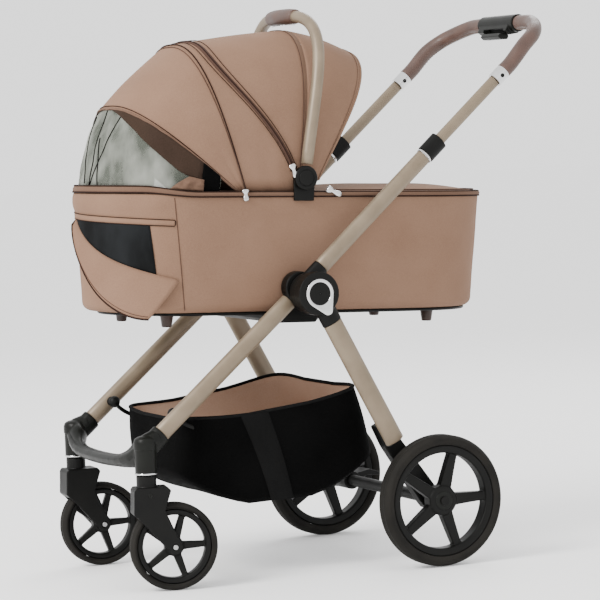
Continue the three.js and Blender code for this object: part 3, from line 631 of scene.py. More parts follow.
def base():
    """The hard plate under the cabin and its four tapered feet."""
    low = TUB["low"]

    def ring(inset, z):
        raised = UP * (z - low) / 1000
        return [cab(*loop_point(s, low, -inset + 17 - 16 * frontness(s))) + raised for s in LOOP]

    rows = [ring(inset, z) for inset, z in ((150, 501.5), (40, 501.5), (32, 501.8), (30, 503.4), (30, 507.4),
                                            (60, 507.5))]
    parts = [grid("base_plate", rows, "black", closed=True)]
    profile = metres([(0.5, 0), (8.5, 0), (9.9, 1.2), (10.4, 4), (12.8, 20.5), (14.2, 21.5), (14.2, 22.8)])
    for x in (-282, 289):
        for _, s in SIDES:
            parts.append(lathe("foot", profile, cab(x, s * 120, 480), UP, "brown", 28))
    attach(join("base_and_feet", parts), "cabin", "cabin_base")


def rear_cover():
    front, back, top = 44, TUB["rear"], TUB["rim"]
    outline = [("left", x) for x in range(front, back, 16)] + [("rear", a) for a in range(-90, 91, 6)]
    outline += [("right", x) for x in range(back - 8, front, -16)] + [("right", front)]
    edge = [loop_point(spot, top, -1)[:2] for spot in outline]
    straight = [(front, 180 - 12 * i) for i in range(1, 30)]
    middle = (250, 0)
    rows = []
    for t in shares(14):
        s = 1 - t * 0.995
        row = []
        for x, y in edge + straight:
            px, py = middle[0] + (x - middle[0]) * s, y * s
            crown = 16 * (1 - s ** 2.4) + 2.1 * hump(s) + 1.2 * wave(px * 0.012, py * 0.012, 0) * (1 - s)
            row.append(cab(px, py, top + 0.6 + crown))
        rows.append(row)
    cover = grid("rear_cover_cloth", rows, "fabric", closed=True)
    attach(thicken(cover, 0.003, middle=(250, 0, 400)), "cabin", "rear_cover")
    border = [cab(x, y, 743.6) for x, y in edge + straight]
    piping = attach(tube("rear_cover_piping", border, 0.0017, "piping", 8, closed=True), "cabin")
    zip_line = [cab(middle[0] + (x - middle[0]) * 0.95, y * 0.95, 747.2) for x, y in edge]
    zipper = attach(tube("rear_cover_zip", zip_line, 0.0013, "tape", 6), "cabin")


def swell(pad):
    """Puffs a mesh up by a cloth simulation under pressure; no point moves more than the cap."""
    cap, frames = 0.006, 20
    before = [v.co.copy() for v in pad.data.vertices]
    puff = pad.modifiers.new("puff", "CLOTH")
    puff.settings.use_pressure = True
    puff.settings.uniform_pressure_force = 4
    puff.settings.effector_weights.gravity = 0
    puff.point_cache.frame_start, puff.point_cache.frame_end = 1, frames
    for step in range(1, frames + 1):
        scene.frame_set(step)
    bake(pad)
    scene.frame_set(1)
    for v, old in zip(pad.data.vertices, before):
        move = v.co - old
        if move.length > cap:
            v.co = old + move.normalized() * cap


def bed():
    """The pad, swollen inside the space of its CAD solid, with its sewn channels."""
    data = nodes["bed_pad"].data.copy()
    pad = bpy.data.objects.new("soft_pad", data)
    scene.collection.objects.link(pad)
    data.materials.clear()
    data.materials.append(FINISH["fabric"])
    slot(pad, "fabric")
    middle = sum((v.co for v in data.vertices), Vector()) / len(data.vertices)
    for v in data.vertices:
        v.co = middle + Vector(((v.co.x - middle.x) * 0.985, (v.co.y - middle.y) * 0.97,
                                (v.co.z - middle.z) * 0.8))
    remesh = pad.modifiers.new("even", "REMESH")
    remesh.mode = "VOXEL"
    remesh.voxel_size = 0.006
    bake(pad)
    swell(pad)
    channel, depth, width = 0.09, 0.004, 0.006
    for v in pad.data.vertices:
        if v.co.z > middle.z:
            near = abs((v.co.x - middle.x + channel / 2) % channel - channel / 2)
            v.co.z -= depth * math.exp(-((near / width) ** 2))
    smooth_shade(pad.data)
    finer = pad.modifiers.new("finer", "SUBSURF")
    finer.levels = finer.render_levels = 1
    bake(pad)
    attach(pad, "cabin", "bed_pad")


# ---------------------------------------------------------------- hood
# Foot, crown, half width, roundness and rearward bulge of the brow hoop, rib, arch line and rear hoop.
HOOPS = (
    ((-150, 743), (-357, 907), 172, 0.72, 0),
    ((-134, 742.5), (-222, 1034), 171, 0.74, 0),
    ((-18, 742), (14, 1068), 170, 0.74, 6),
    ((22, 764), (134, 1030), 168, 0.74, 26),
)
CARRY_HOOP = ((-14, 771), (21, 1095), 186, 0.56, 13)
PUFFS = (5, 4, 6)  # how far each hood panel swells between its hoops


def hoop_point(hoop, a):
    foot, crown, half, power, bulge = hoop
    rise = max(0, math.sin(a)) ** power
    side = -math.copysign(abs(math.cos(a)) ** power, math.cos(a))
    x = foot[0] + (crown[0] - foot[0]) * rise + bulge * math.sin(2 * min(a, math.pi - a))
    return Vector((x, side * half, foot[1] + (crown[1] - foot[1]) * rise))


def hood_raw(a, v):
    i = min(2, int(v))
    t = v - i
    p = hoop_point(HOOPS[i], a) * (1 - t) + hoop_point(HOOPS[i + 1], a) * t
    away = Vector((p.x + 90, p.y * 0.8, p.z - 760))
    return p + away.normalized() * PUFFS[i] * hump(t) * math.sin(a) ** 0.5


def hood_at(a, v, out=0.0):
    """A point of the hood: a is the angle over it from the left foot, v runs from brow to rear edge."""
    a = min(math.pi - 0.002, max(0.002, a))
    p = hood_raw(a, v)
    if not out:
        return p
    e = 0.01
    along = hood_raw(min(math.pi - 0.001, a + e), v) - hood_raw(max(0.001, a - e), v)
    across = hood_raw(a, min(3, v + e)) - hood_raw(a, max(0, v - e))
    normal = along.cross(across).normalized()
    if normal.dot(p - Vector((-90, 0, 780))) < 0:
        normal.negate()
    return p + normal * out


def hood_blend(made):
    """Bakes the piece's placement into its mesh."""
    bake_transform(made)
    return made


def zip_share(a):
    """Where the hood's zip runs at an angle over it."""
    degrees = math.degrees(min(a, math.pi - a))
    return 1.12 if degrees >= 66 else 1.12 + 0.85 * (1 - degrees / 66) ** 2.4


def hood_slack(a, v):
    """The cloth's slow waves and its crumple by the feet, none along the hoops and the zip."""
    near_foot = math.exp(-((math.sin(a) / 0.35) ** 2))
    off_zip = 1 - math.exp(-(((v - zip_share(a)) / 0.12) ** 2))
    crumple = 2.2 * wave(v * 4.5, a * 1.2, 2) * near_foot
    ease = 1.3 * wave(v * 1.7, a * 2.1, 7) * hump(v % 1 if v < 3 else 0) * off_zip
    slack = crumple + ease
    return slack if abs(slack) > 0.01 else 0.0


def hood_panel(name, v0, v1, count):
    rows = []
    for v in (v0 + (v1 - v0) * share for share in shares(count)):
        angles = [math.pi * share for share in shares(72)]
        rows.append([cab(*hood_at(a, v, hood_slack(a, v))) for a in angles])
    # the panel's inner side takes the inner finish, painted shade
    return hood_blend(thicken(grid(name, rows, "fabric"), 0.003, "inner"))


def hood_line(name, share, radius, finish, out=0.8, low=0.0, high=1.0, sides=6):
    """A piping, seam or zip over the hood, at one share of it or at a share that follows the angle."""
    angles = [math.pi * (low + (high - low) * t) for t in shares(96)]
    line = [cab(*hood_at(a, share(a) if callable(share) else share, out)) for a in angles]
    return hood_blend(tube(name, line, radius, finish, sides))


def zip_tape():
    rows = []
    for offset, out in ((-5.5, 0.2), (-5.0, 2.2), (-1.2, 2.4), (0, 2.8), (1.2, 2.4), (5.0, 2.2), (5.5, 0.2)):
        row = []
        for a in (math.pi * (0.02 + 0.96 * t) for t in shares(96)):
            v = zip_share(a)
            scale = max(30.0, (hood_raw(a, min(2, v + 0.02)) - hood_raw(a, v - 0.02)).length / 0.04)
            row.append(cab(*hood_at(a, min(1.999, v + offset / scale), out)))
        rows.append(row)
    return hood_blend(grid("hood_zip_tape", rows, "tape"))


def hood():
    front = hood_panel("hood_front_cloth", 0, 2, 30)
    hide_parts("hood_fabric")
    rear = hood_panel("hood_rear_cloth", 2, 3, 16)
    trims = [zip_tape(), hood_line("hood_zip_teeth", zip_share, 0.0012, "piping", 3.1, 0.02, 0.98)]
    edges = []
    for number, offset in enumerate((-0.055, 0.055)):
        edges.append(hood_line(f"hood_zip_edge_{number}", lambda a: min(1.995, zip_share(a) + offset), 0.0008,
                               "piping", 2.2, 0.02, 0.98))
    trims += [hood_line("hood_rib_seam", 1.0, 0.0013, "piping", 1.2),
              hood_line("hood_rib_edge", 0.955, 0.0009, "tape", 1.2), *edges,
              hood_line("hood_brow_binding", 0.0, 0.0030, "band", -1.0, sides=10),
              hood_line("hood_brow_piping", 0.035, 0.0010, "piping", 0.9),
              hood_line("hood_arch_seam", 1.955, 0.0008, "tape", 0.8)]
    hem = hood_line("hood_rear_binding", 3.0, 0.0026, "fabric", -1.2, sides=10)
    stitch = hood_line("hood_rear_seam", 2.93, 0.0006, "band", 0.6)


# ---------------------------------------------------------------- front net
NET_MIDDLE = (-200, 0, 780)
NET_SEAMS = (((0.50, 1), (0.455, 0)), ((0.40, 0.96), (0.45, 0.02)), ((0.47, 0.62), (0.40, 0)),
             ((0.56, 0.9), (0.50, 0.04)))


def net_at(share, t, out=0.0):
    """A point of the front net: share runs round it from the left foot, t from the rim up to the brow."""
    top = hood_raw(math.pi * (0.03 + 0.94 * share), 0.01)
    spot = ("front", 270 - 180 * share)
    low = Vector(loop_point(spot, TUB["rim"], -9))
    low.z = band_levels(spot)[1] - 1
    reach = smooth(min(share, 1 - share) / 0.1)
    low.x = -176 + (low.x + 176) * (0.25 + 0.75 * reach)
    p = low.lerp(top, t)
    fold = 5 * wave(share * 11, t * 2.2, 5) + 2 * wave(share * 30, t * 5, 9)
    away = Vector((p.x + 200, p.y, 0))
    if away.length > 1:
        p = p + away.normalized() * (7 * hump(t) * hump(share) + fold * hump(t) + out)
    return p


def front_net():
    rows = [[cab(*net_at(share, t)) for share in shares(64)] for t in shares(16)]
    net = cabin_cloth("front_net_cloth", rows, "net", 0.0006, "front_net", middle=NET_MIDDLE)
    for number, ((share0, t0), (share1, t1)) in enumerate(NET_SEAMS):
        line = [cab(*net_at(share0 + (share1 - share0) * k, t0 + (t1 - t0) * k, 0.8)) for k in shares(16)]
        attach(tube(f"net_seam_{number}", line, 0.0010, "strap", 6), "cabin")
    for side, s in SIDES:
        net_trims(side, s)


def net_trims(side, s):
    """The lining folded under the brow, a dark sheet of painted shade, the black corner piece and the
    gathered cloth beside it.
    """
    def at(share, t, out):
        return cab(*net_at(share if s < 0 else 1 - share, t, out))

    start, run = 0.05, 0.445
    under = [[] for _ in range(9)]
    for r, row in enumerate(under):
        for share in (start + run * k for k in shares(36)):
            deep = 0.004 + 0.60 * ((start + run - share) / run) ** 1.4
            row.append(at(share, 0.985 - deep * r / 8, 2.0 + 1.6 * wave(share * 22, r * 0.3, 3)))
    corner = [[at(0.004 + 0.046 * k, 0.98 * t, 2.6) for k in shares(10)] for t in shares(8)]
    gather = []
    for v in shares(24):
        row = []
        for u in shares(24):
            share, t = 0.046 + (0.058 - 0.03 * v) * u, 0.02 + 0.40 * v
            lump = hump(u, 0.5) * hump(v, 0.5) * (6 + 9 * wave(share * 85, t * 6, 6))
            row.append(at(share, t, 4.0 + lump))
        gather.append(row)
    # the brow lining is painted shade: a dark sheet in the inner finish where the brow shades the net
    for name, rows, finish, held, rests_on in (
        ("brow_lining_painted_shade", under, "inner", "hung", "hood_brow_hoop"),
        ("net_corner", corner, "lining", "stretched", "rim_band"),
        ("gathered_cloth", gather, "band", "gathered", "rim_band"),
    ):
        made = cabin_cloth(f"{name}_{side}", rows, finish, 0.001, middle=NET_MIDDLE)


def zip_pulls():
    """Bright zip pulls: two by each carrying hub and one on the rim."""
    radii = [0.0030, 0.0036, 0.0030, 0.0017, 0.0017, 0.0023, 0.0027, 0.0027, 0.0018]
    for side, s in SIDES:
        for name, top, end, y, body in (
            ("hood", (-46, 798), (-36, 771), 192, "hood"),
            ("cover", (34, 750), (64, 737), 186, "cabin"),
            ("rim", (-142, 749), (-140, 726), 184, "cabin"),
        ):
            a, b = cab(top[0], s * y, top[1]), cab(end[0], s * (y + 1), end[1])
            line = [a.lerp(b, k) for k in shares(8)]
            pull = tube(f"zip_pull_{name}_{side}", line, radii, "chrome", 12, flat=2.2, side=(0, 1, 0.01))
            attach(pull, body)


# ---------------------------------------------------------------- carrying arch
def arch_line(low, run, count):
    return [cab(*hoop_point(CARRY_HOOP, math.pi * (low + run * t))) for t in shares(count)]


def carry_arch():
    parts = [tube("arch_tube", arch_line(0.004, 0.992, 120), 0.0118, "frame", 24)]
    boss = metres([(8.8, 0), (23.2, 0), (24, 1), (24, 7.8), (22.6, 9.6), (21.5, 9.8), (16.5, 9.4),
                   (15.8, 8.6)])
    cap = metres([(15.8, 8.6), (15.2, 9.8), (13.5, 10.3), (0.5, 10.5)])
    for _, s in SIDES:
        for profile in (boss, cap):
            parts.append(lathe("boss", profile, HUB + Vector((0, s * 0.1876, 0)), (0, s, 0), "black", 48))
    attach(join("carry_arch_tube", parts), "hood", "carry_arch")
    line = arch_line(0.461, 0.078, 24)
    radii = [0.0146 + 0.0012 * hump(t) for t in shares(24)]
    grip = tube("carry_grip_leather", line, radii, "leather", 28)
    stitches = stitch_row("carry_grip_stitches", line, 0.0164, -PLUMB, 0.0045)
    attach(grip, "hood", "carry_grip")
    attach(stitches, "hood")


def stitch_row(name, line, radius, down, pitch):
    """Short raised stitches along a bar, on the side that faces down."""
    parts = []
    gone = 0.0
    for p, q in zip(line, line[1:]):
        gone += (q - p).length
        if gone < pitch:
            continue
        gone = 0.0
        ahead = (q - p).normalized()
        out = (down - ahead * down.dot(ahead)).normalized()
        centre = p + out * radius
        reach = ahead * pitch * 0.32 + ahead.cross(out) * pitch * 0.22
        spine = [centre - reach, centre, centre + reach]
        parts.append(tube("stitch", spine, [0.0003, 0.0007, 0.0003], "thread", 5))
    return join(name, parts)


# ---------------------------------------------------------------- chassis
FRONT_LEG_ANGLE, REAR_LEG_ANGLE, HANDLE_ANGLE = 222.7, 300.1, 43.7
FRONT_LEG_TOP, HANDLE_START = (-50, 529), (6, 597)
FRONT_LEG_Y, REAR_LEG_Y, HANDLE_Y = 187, 245, 216
INNER_TUBE_START, INNER_TUBE_END = 255, 534  # along the handle


def bar(name, start, angle, length, y, width, depth, finish, sides=32):
    """An oval bar in the side view, with softly rounded ends."""
    direction = math.radians(angle)
    ahead = BACK * math.cos(direction) + UP * math.sin(direction)
    up_side = -BACK * math.sin(direction) + UP * math.cos(direction)
    origin = cab(start[0], y, start[1])
    ends = ((0, 0.86), (0.6, 0.96), (1.6, 1))
    stations = [*ends, *[(length * k, 1) for k in shares(12)[1:-1]]]
    stations += [(length - at, share) for at, share in ends[::-1]]
    oval = [up_side * math.cos(t) * width / 2 + Vector((0, math.sin(t) * depth / 2, 0)) for t in turn(sides)]
    rows = [[origin + ahead * at / 1000 + p * share / 1000 for p in oval] for at, share in stations]
    return grid(name, rows, finish, closed=True)


def chassis():
    tubes = (  # name, body, CAD node, start, angle, length, y, width, depth
        ("front_leg_tube", "front_frame", "front_leg", FRONT_LEG_TOP, FRONT_LEG_ANGLE, 369,
         FRONT_LEG_Y, 34, 26),
        ("rear_leg_tube", "rear_frame", "rear_leg", polar(HINGE_MM, REAR_LEG_ANGLE, 67), REAR_LEG_ANGLE, 275,
         REAR_LEG_Y, 40, 26),
        ("handle_lower", "handle_frame", "handle_tube", HANDLE_START, HANDLE_ANGLE, 332, HANDLE_Y, 32, 26),
        ("handle_upper", "handle_top", "inner_tube", polar(HANDLE_START, HANDLE_ANGLE, INNER_TUBE_START),
         HANDLE_ANGLE, INNER_TUBE_END - INNER_TUBE_START, HANDLE_Y, 24, 18),
    )
    for side, s in SIDES:
        for name, body, node, start, angle, length, y, width, depth in tubes:
            tube_piece = bar(f"{name}_{side}", start, angle, length, s * y, width, depth, "frame")
            attach(tube_piece, body, f"{node}_{side}")
        for name, voxel, rounds in (("hinge_inner", 0.0014, 4), ("hinge_middle", 0.0014, 4),
                                    ("hinge_outer", 0.0013, 7), ("rear_foot", 0.0016, 4),
                                    ("caster_fork", 0.0013, 5), ("hood_socket", 0.0010, 3)):
            moulded(f"{name}_{side}", "black", voxel, rounds)
        machined(f"hinge_pin_{side}", "steel")
        machined(f"front_axle_{side}", "steel")
        machined(f"height_collar_{side}", "black", 0.0016)
        machined(f"grip_connector_{side}", "chrome", 0.0015)
        bezel(side, s)
    moulded("front_yoke", "graphite", 0.0019, 8)
    moulded("bar_housing", "graphite", 0.0012, 5)
    machined("release_lever", "graphite", 0.0016)
    for name in ("cabin_cradle", "rear_axle", "brake_pedal", "hood_brow_hoop", "visor_hoop"):
        machined(name, "black")


def bezel_outline():
    """The teardrop's outline, as even rays (x, z, reach) from the fold axis."""
    loop = [polar(HINGE_MM, REAR_LEG_ANGLE + 62 + 236 * t, 29) for t in shares(60)]
    tail = polar(HINGE_MM, REAR_LEG_ANGLE - 2, 37)
    loop += [polar(tail, REAR_LEG_ANGLE - 62 + 124 * t, 10) for t in shares(24)]
    outline = []
    for a in turn(144):
        rx, rz = math.cos(a), math.sin(a)
        reach = 0
        for (x0, z0), (x1, z1) in zip(loop, loop[1:] + loop[:1]):
            ax, az, bx, bz = x0 - HINGE_MM[0], z0 - HINGE_MM[1], x1 - x0, z1 - z0
            cross = rx * bz - rz * bx
            if abs(cross) < 1e-9:
                continue
            t, u = (ax * bz - az * bx) / cross, (ax * rz - az * rx) / cross
            if t > 0 and -1e-6 <= u <= 1 + 1e-6:
                reach = max(reach, t)
        outline.append((rx, rz, reach))
    return outline


def bezel(side, s):
    """The bright teardrop round the fold axis, with a plain dark disc in it."""
    face = 258.3
    outline = bezel_outline()
    rows = []
    for shrink, rise, inner in ((0, 0, None), (0, 1.9, None), (0.5, 2.7, None), (1.4, 3.0, None),
                                (0, 3.0, 23.6), (0, 2.6, 22.8), (0, 1.2, 22.4)):
        row = []
        for rx, rz, reach in outline:
            wanted = inner or reach - shrink
            row.append(cab(HINGE_MM[0] + rx * wanted, s * (face + rise), HINGE_MM[1] + rz * wanted))
        rows.append(row)
    attach(grid(f"hinge_bezel_ring_{side}", rows, "chrome", closed=True), "rear_frame", f"hinge_bezel_{side}")
    profile = metres([(22.6, 0.4), (22.4, 1.8), (21.2, 2.4), (19.5, 2.6), (0.5, 2.9)])
    centre = HINGE + Vector((0, s * face / 1000, 0))
    attach(lathe(f"hinge_disc_{side}", profile, centre, (0, s, 0), "black", 64), "rear_frame")


def handle():
    """The leather grips with their stitches, the collars' bright catches and the ferrules' holes, painted as
    black cups of shade.
    """
    start = polar(HANDLE_START, HANDLE_ANGLE, INNER_TUBE_END + 28 + 0.6)
    route = [start, polar(start, HANDLE_ANGLE, 24), (460, 1037), (489, 1061), (511, 1078), (525, 1089),
             (528, 1091), (528, 1091)]
    widths = [HANDLE_Y, HANDLE_Y, 213, 199, 167, 128, 96, 73.3]
    clip = polar(HANDLE_START, HANDLE_ANGLE, 312)
    hole = polar(HANDLE_START, HANDLE_ANGLE, INNER_TUBE_END + 15)
    down = Vector((-0.5, 0, -1)).normalized()
    for side, s in SIDES:
        spine = [Vector((x, s * y, z)) for (x, z), y in zip(route, widths)]
        line = [cab(*p) for p in catmull(spine, 14)]
        radii = [0.0153] * len(line)
        radii[0] = radii[-1] = 0.0143
        attach(tube(f"grip_leather_{side}", line, radii, "leather", 28), "handle_top", f"grip_{side}")
        attach(stitch_row(f"grip_stitches_{side}", line[2:-2], 0.0156, down, 0.005), "handle_top")
        catch = bar(f"collar_clip_{side}", clip, HANDLE_ANGLE, 6, s * HANDLE_Y, 34.5, 28.5, "chrome")
        attach(catch, "handle_frame")
        # a shallow black cup paints the shade inside the ferrule's hole
        inner_face = cab(hole[0], s * HANDLE_Y - 14.6, hole[1])
        profile = metres([(4.4, 0.6), (4.2, -0.4), (0.5, -0.5)])
        attach(lathe(f"ferrule_hole_shade_{side}", profile, inner_face, (0, 1, 0), "black", 24), "handle_top")


def yoke_shoulders():
    """The webs and caps that blend the yoke's bar and leg sockets into its posts, clear of the stems."""
    # forward, inboard, height and half height, from the swivel
    web = ((0, 12.5, 268, 29), (0, 15, 268, 28.8), (-1, 21, 266.5, 27.5), (-6, 34, 260, 23),
           (-12, 52, 254, 18), (-16, 76, 249.5, 14.5), (-17, 96, 247, 13.2))
    dome = ((274, 22.2), (290, 22.2), (297, 19.5), (301, 12))  # height, radius
    neck_start, neck_end = 0.288, polar(FRONT_LEG_TOP, FRONT_LEG_ANGLE, 382)
    for side, s in SIDES:
        x, y, _ = joint_at(f"caster_swivel_{side}")
        line = catmull([Vector(p) / 1000 for p in web], 4)
        points = [Vector((x + p[0], y - s * p[1], p[2])) for p in line]
        parts = [tube("web", points, [p[3] for p in line], "graphite", 28, flat=0.66, side=(0, 0, 1))]
        points = [Vector((x, y, z / 1000)) for z, _ in dome]
        parts.append(tube("dome", points, [r / 1000 for _, r in dome], "graphite", 28))
        start, socket = Vector((x, y, neck_start)), cab(neck_end[0], s * FRONT_LEG_Y, neck_end[1])
        points, radii = zip(*[(start.lerp(socket, k), 0.0165 + 0.0030 * k) for k in shares(6)])
        parts.append(tube("neck", points, radii, "graphite", 28, flat=0.95, side=(1, 0, 1)))
        made = join(f"yoke_shoulder_{side}", parts)
        attach(fuse(made, 0.0019, 8), "front_frame")


def fittings():
    """The ball clip inside each front leg that the basket hangs from, and the screws in the forks."""
    clip = polar(FRONT_LEG_TOP, FRONT_LEG_ANGLE, 318)
    ball = metres([(9.5, -0.5), (9.5, 3), (6.2, 4.5), (6.2, 8), (9.5, 10.5), (11.8, 15), (11.8, 19),
                   (9.5, 23.5), (5.5, 26.2), (0.4, 27)])
    hook = ((16, 0, 0), (17, 10, -12), (14, 24, -22), (10, 40, -30))  # inboard, rearward and up from the clip
    head = metres([(4.4, -0.4), (4.4, 0.4), (3.6, 1.0), (1.8, 1.1), (1.6, 0.5), (0.3, 0.5)])
    for side, s in SIDES:
        start = cab(clip[0], s * 174, clip[1])
        attach(lathe(f"basket_clip_{side}", ball, start, (0, -s, 0), "black", 32), "front_frame")
        line = [start + Vector((x, -s * y, z)) / 1000 for y, x, z in hook]
        attach(tube(f"basket_hook_{side}", catmull(line, 6), 0.0042, "black", 12, flat=0.6), "front_frame")
        pivot = joint_at(f"caster_swivel_{side}")
        axle = Vector(joint[f"front_wheel_spin_{side}"]["axis"]).normalized()
        outward = axle * (1 if axle.y * s > 0 else -1)
        trail = PLUMB.cross(outward)
        trail = trail if trail.x > 0 else -trail
        spot = Vector((pivot.x, pivot.y, 0.188)) + trail * 0.004 + outward * 0.0256
        attach(lathe(f"fork_screw_{side}", head, spot, outward, "graphite", 24), f"caster_{side}")


# ---------------------------------------------------------------- wheels
REAR_WHEEL = {"radius": 131.2, "width": 45, "tyre": 111, "rim": 95, "hub": 30, "spoke": (25, 17), "thick": 21}
FRONT_WHEEL = {"radius": 85.5, "width": 34, "tyre": 73, "rim": 61, "hub": 19, "spoke": (16, 11), "thick": 15}
SPOKES = 5
BOX_FACES = [(0, 1, 2, 3), (7, 6, 5, 4), (0, 4, 5, 1), (1, 5, 6, 2), (2, 6, 7, 3), (3, 7, 4, 0)]


def tyre_profile(size):
    """A round shoulder on each side and five treads with a groove between each two."""
    half, radius, inner = size["width"] / 2, size["radius"] - 0.3, size["tyre"]
    shoulder = [(inner, half * 0.72), (inner + 3, half * 0.86), (radius - 9, half - 0.2),
                (radius - 5, half * 0.86), (radius - 1.6, half * 0.62)]
    tread = []
    for t in (k * half * 0.2 for k in range(-2, 3)):
        tread += [(radius, t - 1.6), (radius, t + 1.2), (radius - 1.1, t + 1.7), (radius - 1.1, t + 2.1)]
    return [(r, -t) for r, t in shoulder] + tread[:-2] + shoulder[::-1] + [(inner, -half * 0.72)]


def rim_parts(size, centre, axis):
    barrel, inner, rim_r, hub_r = size["width"] * 0.36, size["tyre"], size["rim"], size["hub"]
    thick = size["thick"] / 2
    half_ring = [(inner - 0.4, barrel), (inner - 3, barrel + 1.2), (rim_r + 2, barrel * 0.95),
                 (rim_r, barrel * 0.8)]
    other_half = [(r, -t) for r, t in half_ring[::-1]]
    ring = [other_half[-1], *half_ring, *other_half]
    hub = [(0.3, thick + 5), (hub_r * 0.86, thick + 5), (hub_r, thick + 2)]
    hub = [(r, -t) for r, t in hub] + hub[::-1]
    parts = [lathe(name, metres(profile), centre, axis, "black", segments)
             for name, profile, segments in (("ring", ring, 96), ("hub", hub, 48))]
    up = (PLUMB - axis * PLUMB.dot(axis)).normalized()
    inner_width, outer_width = size["spoke"]
    for a in turn(SPOKES):
        ray = Matrix.Rotation(a + 0.3, 3, axis) @ up
        wide = axis.cross(ray)
        corners = []
        for at, width, deep in ((hub_r * 0.6, inner_width, thick), (rim_r + 3, outer_width, thick * 0.86)):
            for i, j in ((-1, -1), (1, -1), (1, 1), (-1, 1)):
                corners.append(centre + (ray * at + wide * i * width / 2 + axis * j * deep) / 1000)
        parts.append(mesh("spoke", corners, BOX_FACES, "black"))
    return parts


def wheel(end, side, size):
    name = body = f"{end}_wheel_{side}"
    spin = f"{end}_wheel_spin_{side}"
    centre = joint_at(spin)
    axis = Vector(joint[spin]["axis"]).normalized()
    tyre = lathe(f"{name}_tyre", metres(tyre_profile(size)), centre, axis, "tyre", 120)
    attach(tyre, body, f"{end}_tyre_{side}")
    rim_piece = fuse(join(f"{name}_rim", rim_parts(size, centre, axis)), 0.0016, 6)
    attach(bake(rim_piece), body, f"{end}_rim_{side}")
    hub_r, thick = size["hub"], size["thick"] / 2
    cap = [(hub_r * 0.62, thick + 4.2), (hub_r * 0.62, thick + 5.6), (hub_r * 0.55, thick + 6.2),
           (0.3, thick + 6.5)]
    outward = axis if centre.y * axis.y > 0 else -axis
    attach(lathe(f"{name}_cap", metres(cap), centre, outward, "graphite", 40), body)


def wheels():
    """The four wheels, and the bright ring under each of the yoke's posts."""
    ring = metres([(21.0, 0), (21.7, 0.8), (21.7, 2.2), (21.0, 3)])
    for side, _ in SIDES:
        wheel("rear", side, REAR_WHEEL)
        wheel("front", side, FRONT_WHEEL)
        x, y, _ = joint_at(f"caster_swivel_{side}")
        attach(lathe(f"yoke_ring_{side}", ring, (x, y, 0.2275), (0, 0, 1), "chrome", 48), "front_frame")


# ---------------------------------------------------------------- basket
BASKET = {"front": -262, "rear": 106, "low_front": -265, "low_rear": 160, "half": 183, "height": 305}


def basket_point(a, level, inset=0.0, shrink=1.0):
    """A point of the basket: a is the angle round it, level runs from its edge down to its floor."""
    x0 = BASKET["front"] + (BASKET["low_front"] - BASKET["front"]) * level + inset
    x1 = BASKET["rear"] + (BASKET["low_rear"] - BASKET["rear"]) * level - inset

    def squared(value):
        return math.copysign(abs(value) ** 0.3, value) * shrink

    ca, sa = squared(math.cos(a)), squared(math.sin(a))
    w = (1 + ca) / 2
    half = BASKET["half"] + 30 * w - inset - 34 * level ** 2
    between = 1 - (2 * w - 1) ** 2
    sag = 16 * between + 12 * (1 - min(1, abs(sa)))
    top = BASKET["height"] + 57 * w - sag * (1 - level)
    drop = 114 + 26 * w + 80 * between
    return Vector((x0 + (x1 - x0) * w, half * sa, top - drop * level + (inset if level > 0 else 0)))


def basket_blend(made):
    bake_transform(made)
    return made


def basket_skin(a, level, inset=0.0, shrink=1.0, out=0.0):
    """A point of the basket's cloth, with the slow waves that its slack gives it."""
    p = basket_point(a, level, inset, shrink)
    flow = 3.2 * hump(min(1, level)) * wave(p.x * 0.012, p.y * 0.012, level * 1.4)
    away = Vector((p.x + 60, p.y, 0))
    return p + away.normalized() * (flow + out) if away.length > 1 else p


def side_angle(x, level, s):
    """Where the basket's side stands at x, by halving."""
    low, high = 0.0, math.pi
    for _ in range(30):
        middle = (low + high) / 2
        if basket_point(s * middle, level).x > x:
            low = middle
        else:
            high = middle
    return s * (low + high) / 2


def basket_strap(side, s):
    rows = []
    for level in (share * 0.95 for share in shares(32)):
        centre, half = -128 + 77 * level, 29 - 6 * level
        row = []
        for wide, out in ((-half, 0.4), (-half + 2, 2.4), (-9, 2.6), (9, 2.6), (half - 2, 2.4), (half, 0.4)):
            row.append(cab(*basket_skin(side_angle(centre + wide, level, s), level, out=out)))
        rows.append(row)
    return basket_blend(grid(f"basket_strap_{side}", rows, "strap"))


def basket():
    angles = turn(120, 0.5)
    levels = (0, 0.06, 0.14, 0.24, 0.36, 0.5, 0.64, 0.78, 0.88, 0.95)
    floor_shares = (0.93, 0.8, 0.6, 0.35, 0.05)

    def skin(name, finish, inset, floor_level):
        rings = [(level, 1.0) for level in levels] + [(floor_level, share) for share in floor_shares]
        rows = [[cab(*basket_skin(a, level, inset, share)) for a in angles] for level, share in rings]
        return basket_blend(grid(name, rows, finish, closed=True))

    outside = skin("basket_outer", "lining", 0, 1)
    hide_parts("basket")
    inside = skin("basket_inner", "taupe", 3, 0.985)
    edge = [cab(*basket_point(a, 0, 1.5)) for a in angles]
    binding = basket_blend(tube("basket_binding", edge, 0.0036, "strap", 8, closed=True))
    straps = [basket_strap(side, s) for side, s in SIDES]


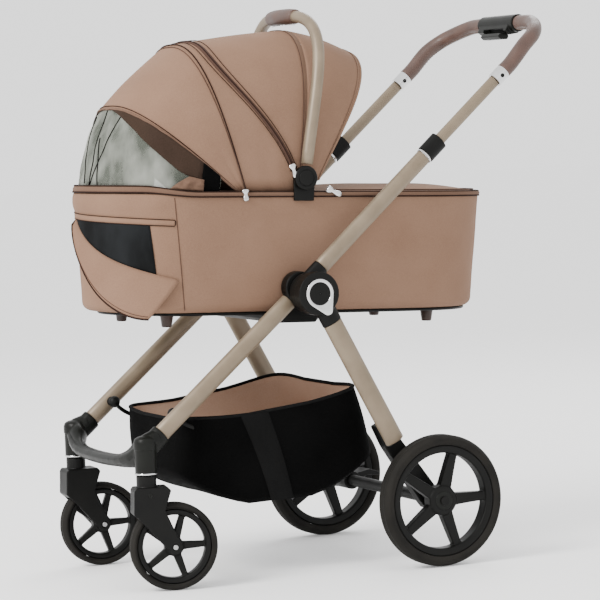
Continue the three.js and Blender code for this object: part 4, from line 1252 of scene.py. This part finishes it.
# ---------------------------------------------------------------- stage
def lamp(name, place, target, power, size, color=(1, 1, 1)):
    data = bpy.data.lights.new(name, "AREA")
    data.energy, data.size, data.color = power, size, color
    lit = bpy.data.objects.new(name, data)
    scene.collection.objects.link(lit)
    lit.location = place
    lit.rotation_euler = (Vector(target) - Vector(place)).to_track_quat("-Z", "Y").to_euler()


def stage():
    floor = bpy.data.meshes.new("floor")
    reach, below = 30, -0.0005
    corners = [(x * reach, y * reach, below) for x, y in ((-1, -1), (1, -1), (1, 1), (-1, 1))]
    floor.from_pydata(corners, [], [(0, 1, 2, 3)])
    made = bpy.data.objects.new("floor", floor)
    scene.collection.objects.link(made)
    finish, _, shader = base_material("floor_paint", 0.9, level=0.1)
    shader.inputs["Base Color"].default_value = (0.9, 0.9, 0.9, 1)
    shader.inputs["Emission Color"].default_value = (1, 1, 1, 1)
    shader.inputs["Emission Strength"].default_value = 0.15
    floor.materials.append(finish)
    world = bpy.data.worlds.new("pale")
    scene.world = world
    world.use_nodes = True
    world.node_tree.nodes["Background"].inputs["Color"].default_value = (1, 1, 1, 1)
    world.node_tree.nodes["Background"].inputs["Strength"].default_value = 1.75
    lamp("key", (-3.4, -1.0, 3.0), (0, 0, 0.5), 230, 1.6, (1, 0.985, 0.96))
    lamp("fill", (0.5, -4.5, 2.2), (0, 0, 0.5), 4, 2.5)
    lamp("back", (2.4, 2.6, 3.2), (0, 0, 0.6), 60, 2.0)


def camera():
    data = bpy.data.cameras.new("camera")
    data.lens, data.sensor_width = 174.18, 36
    data.clip_end = 100
    made = bpy.data.objects.new("camera", data)
    scene.collection.objects.link(made)
    right = Vector((0.90548, -0.42262, -0.03881))
    up = Vector((0.06256, 0.04246, 0.99714))
    back = Vector((-0.41976, -0.90531, 0.06489))
    facing = Matrix((right, up, back)).transposed().to_4x4()
    made.matrix_world = Matrix.Translation((-2.4954, -5.3593, 0.9127)) @ facing
    scene.camera = made


stage()
camera()
tub()
rim()
seams()
zip_strip()
window()
flap()
base()
rear_cover()
bed()
hood()
front_net()
zip_pulls()
carry_arch()
chassis()
handle()
yoke_shoulders()
fittings()
wheels()
basket()
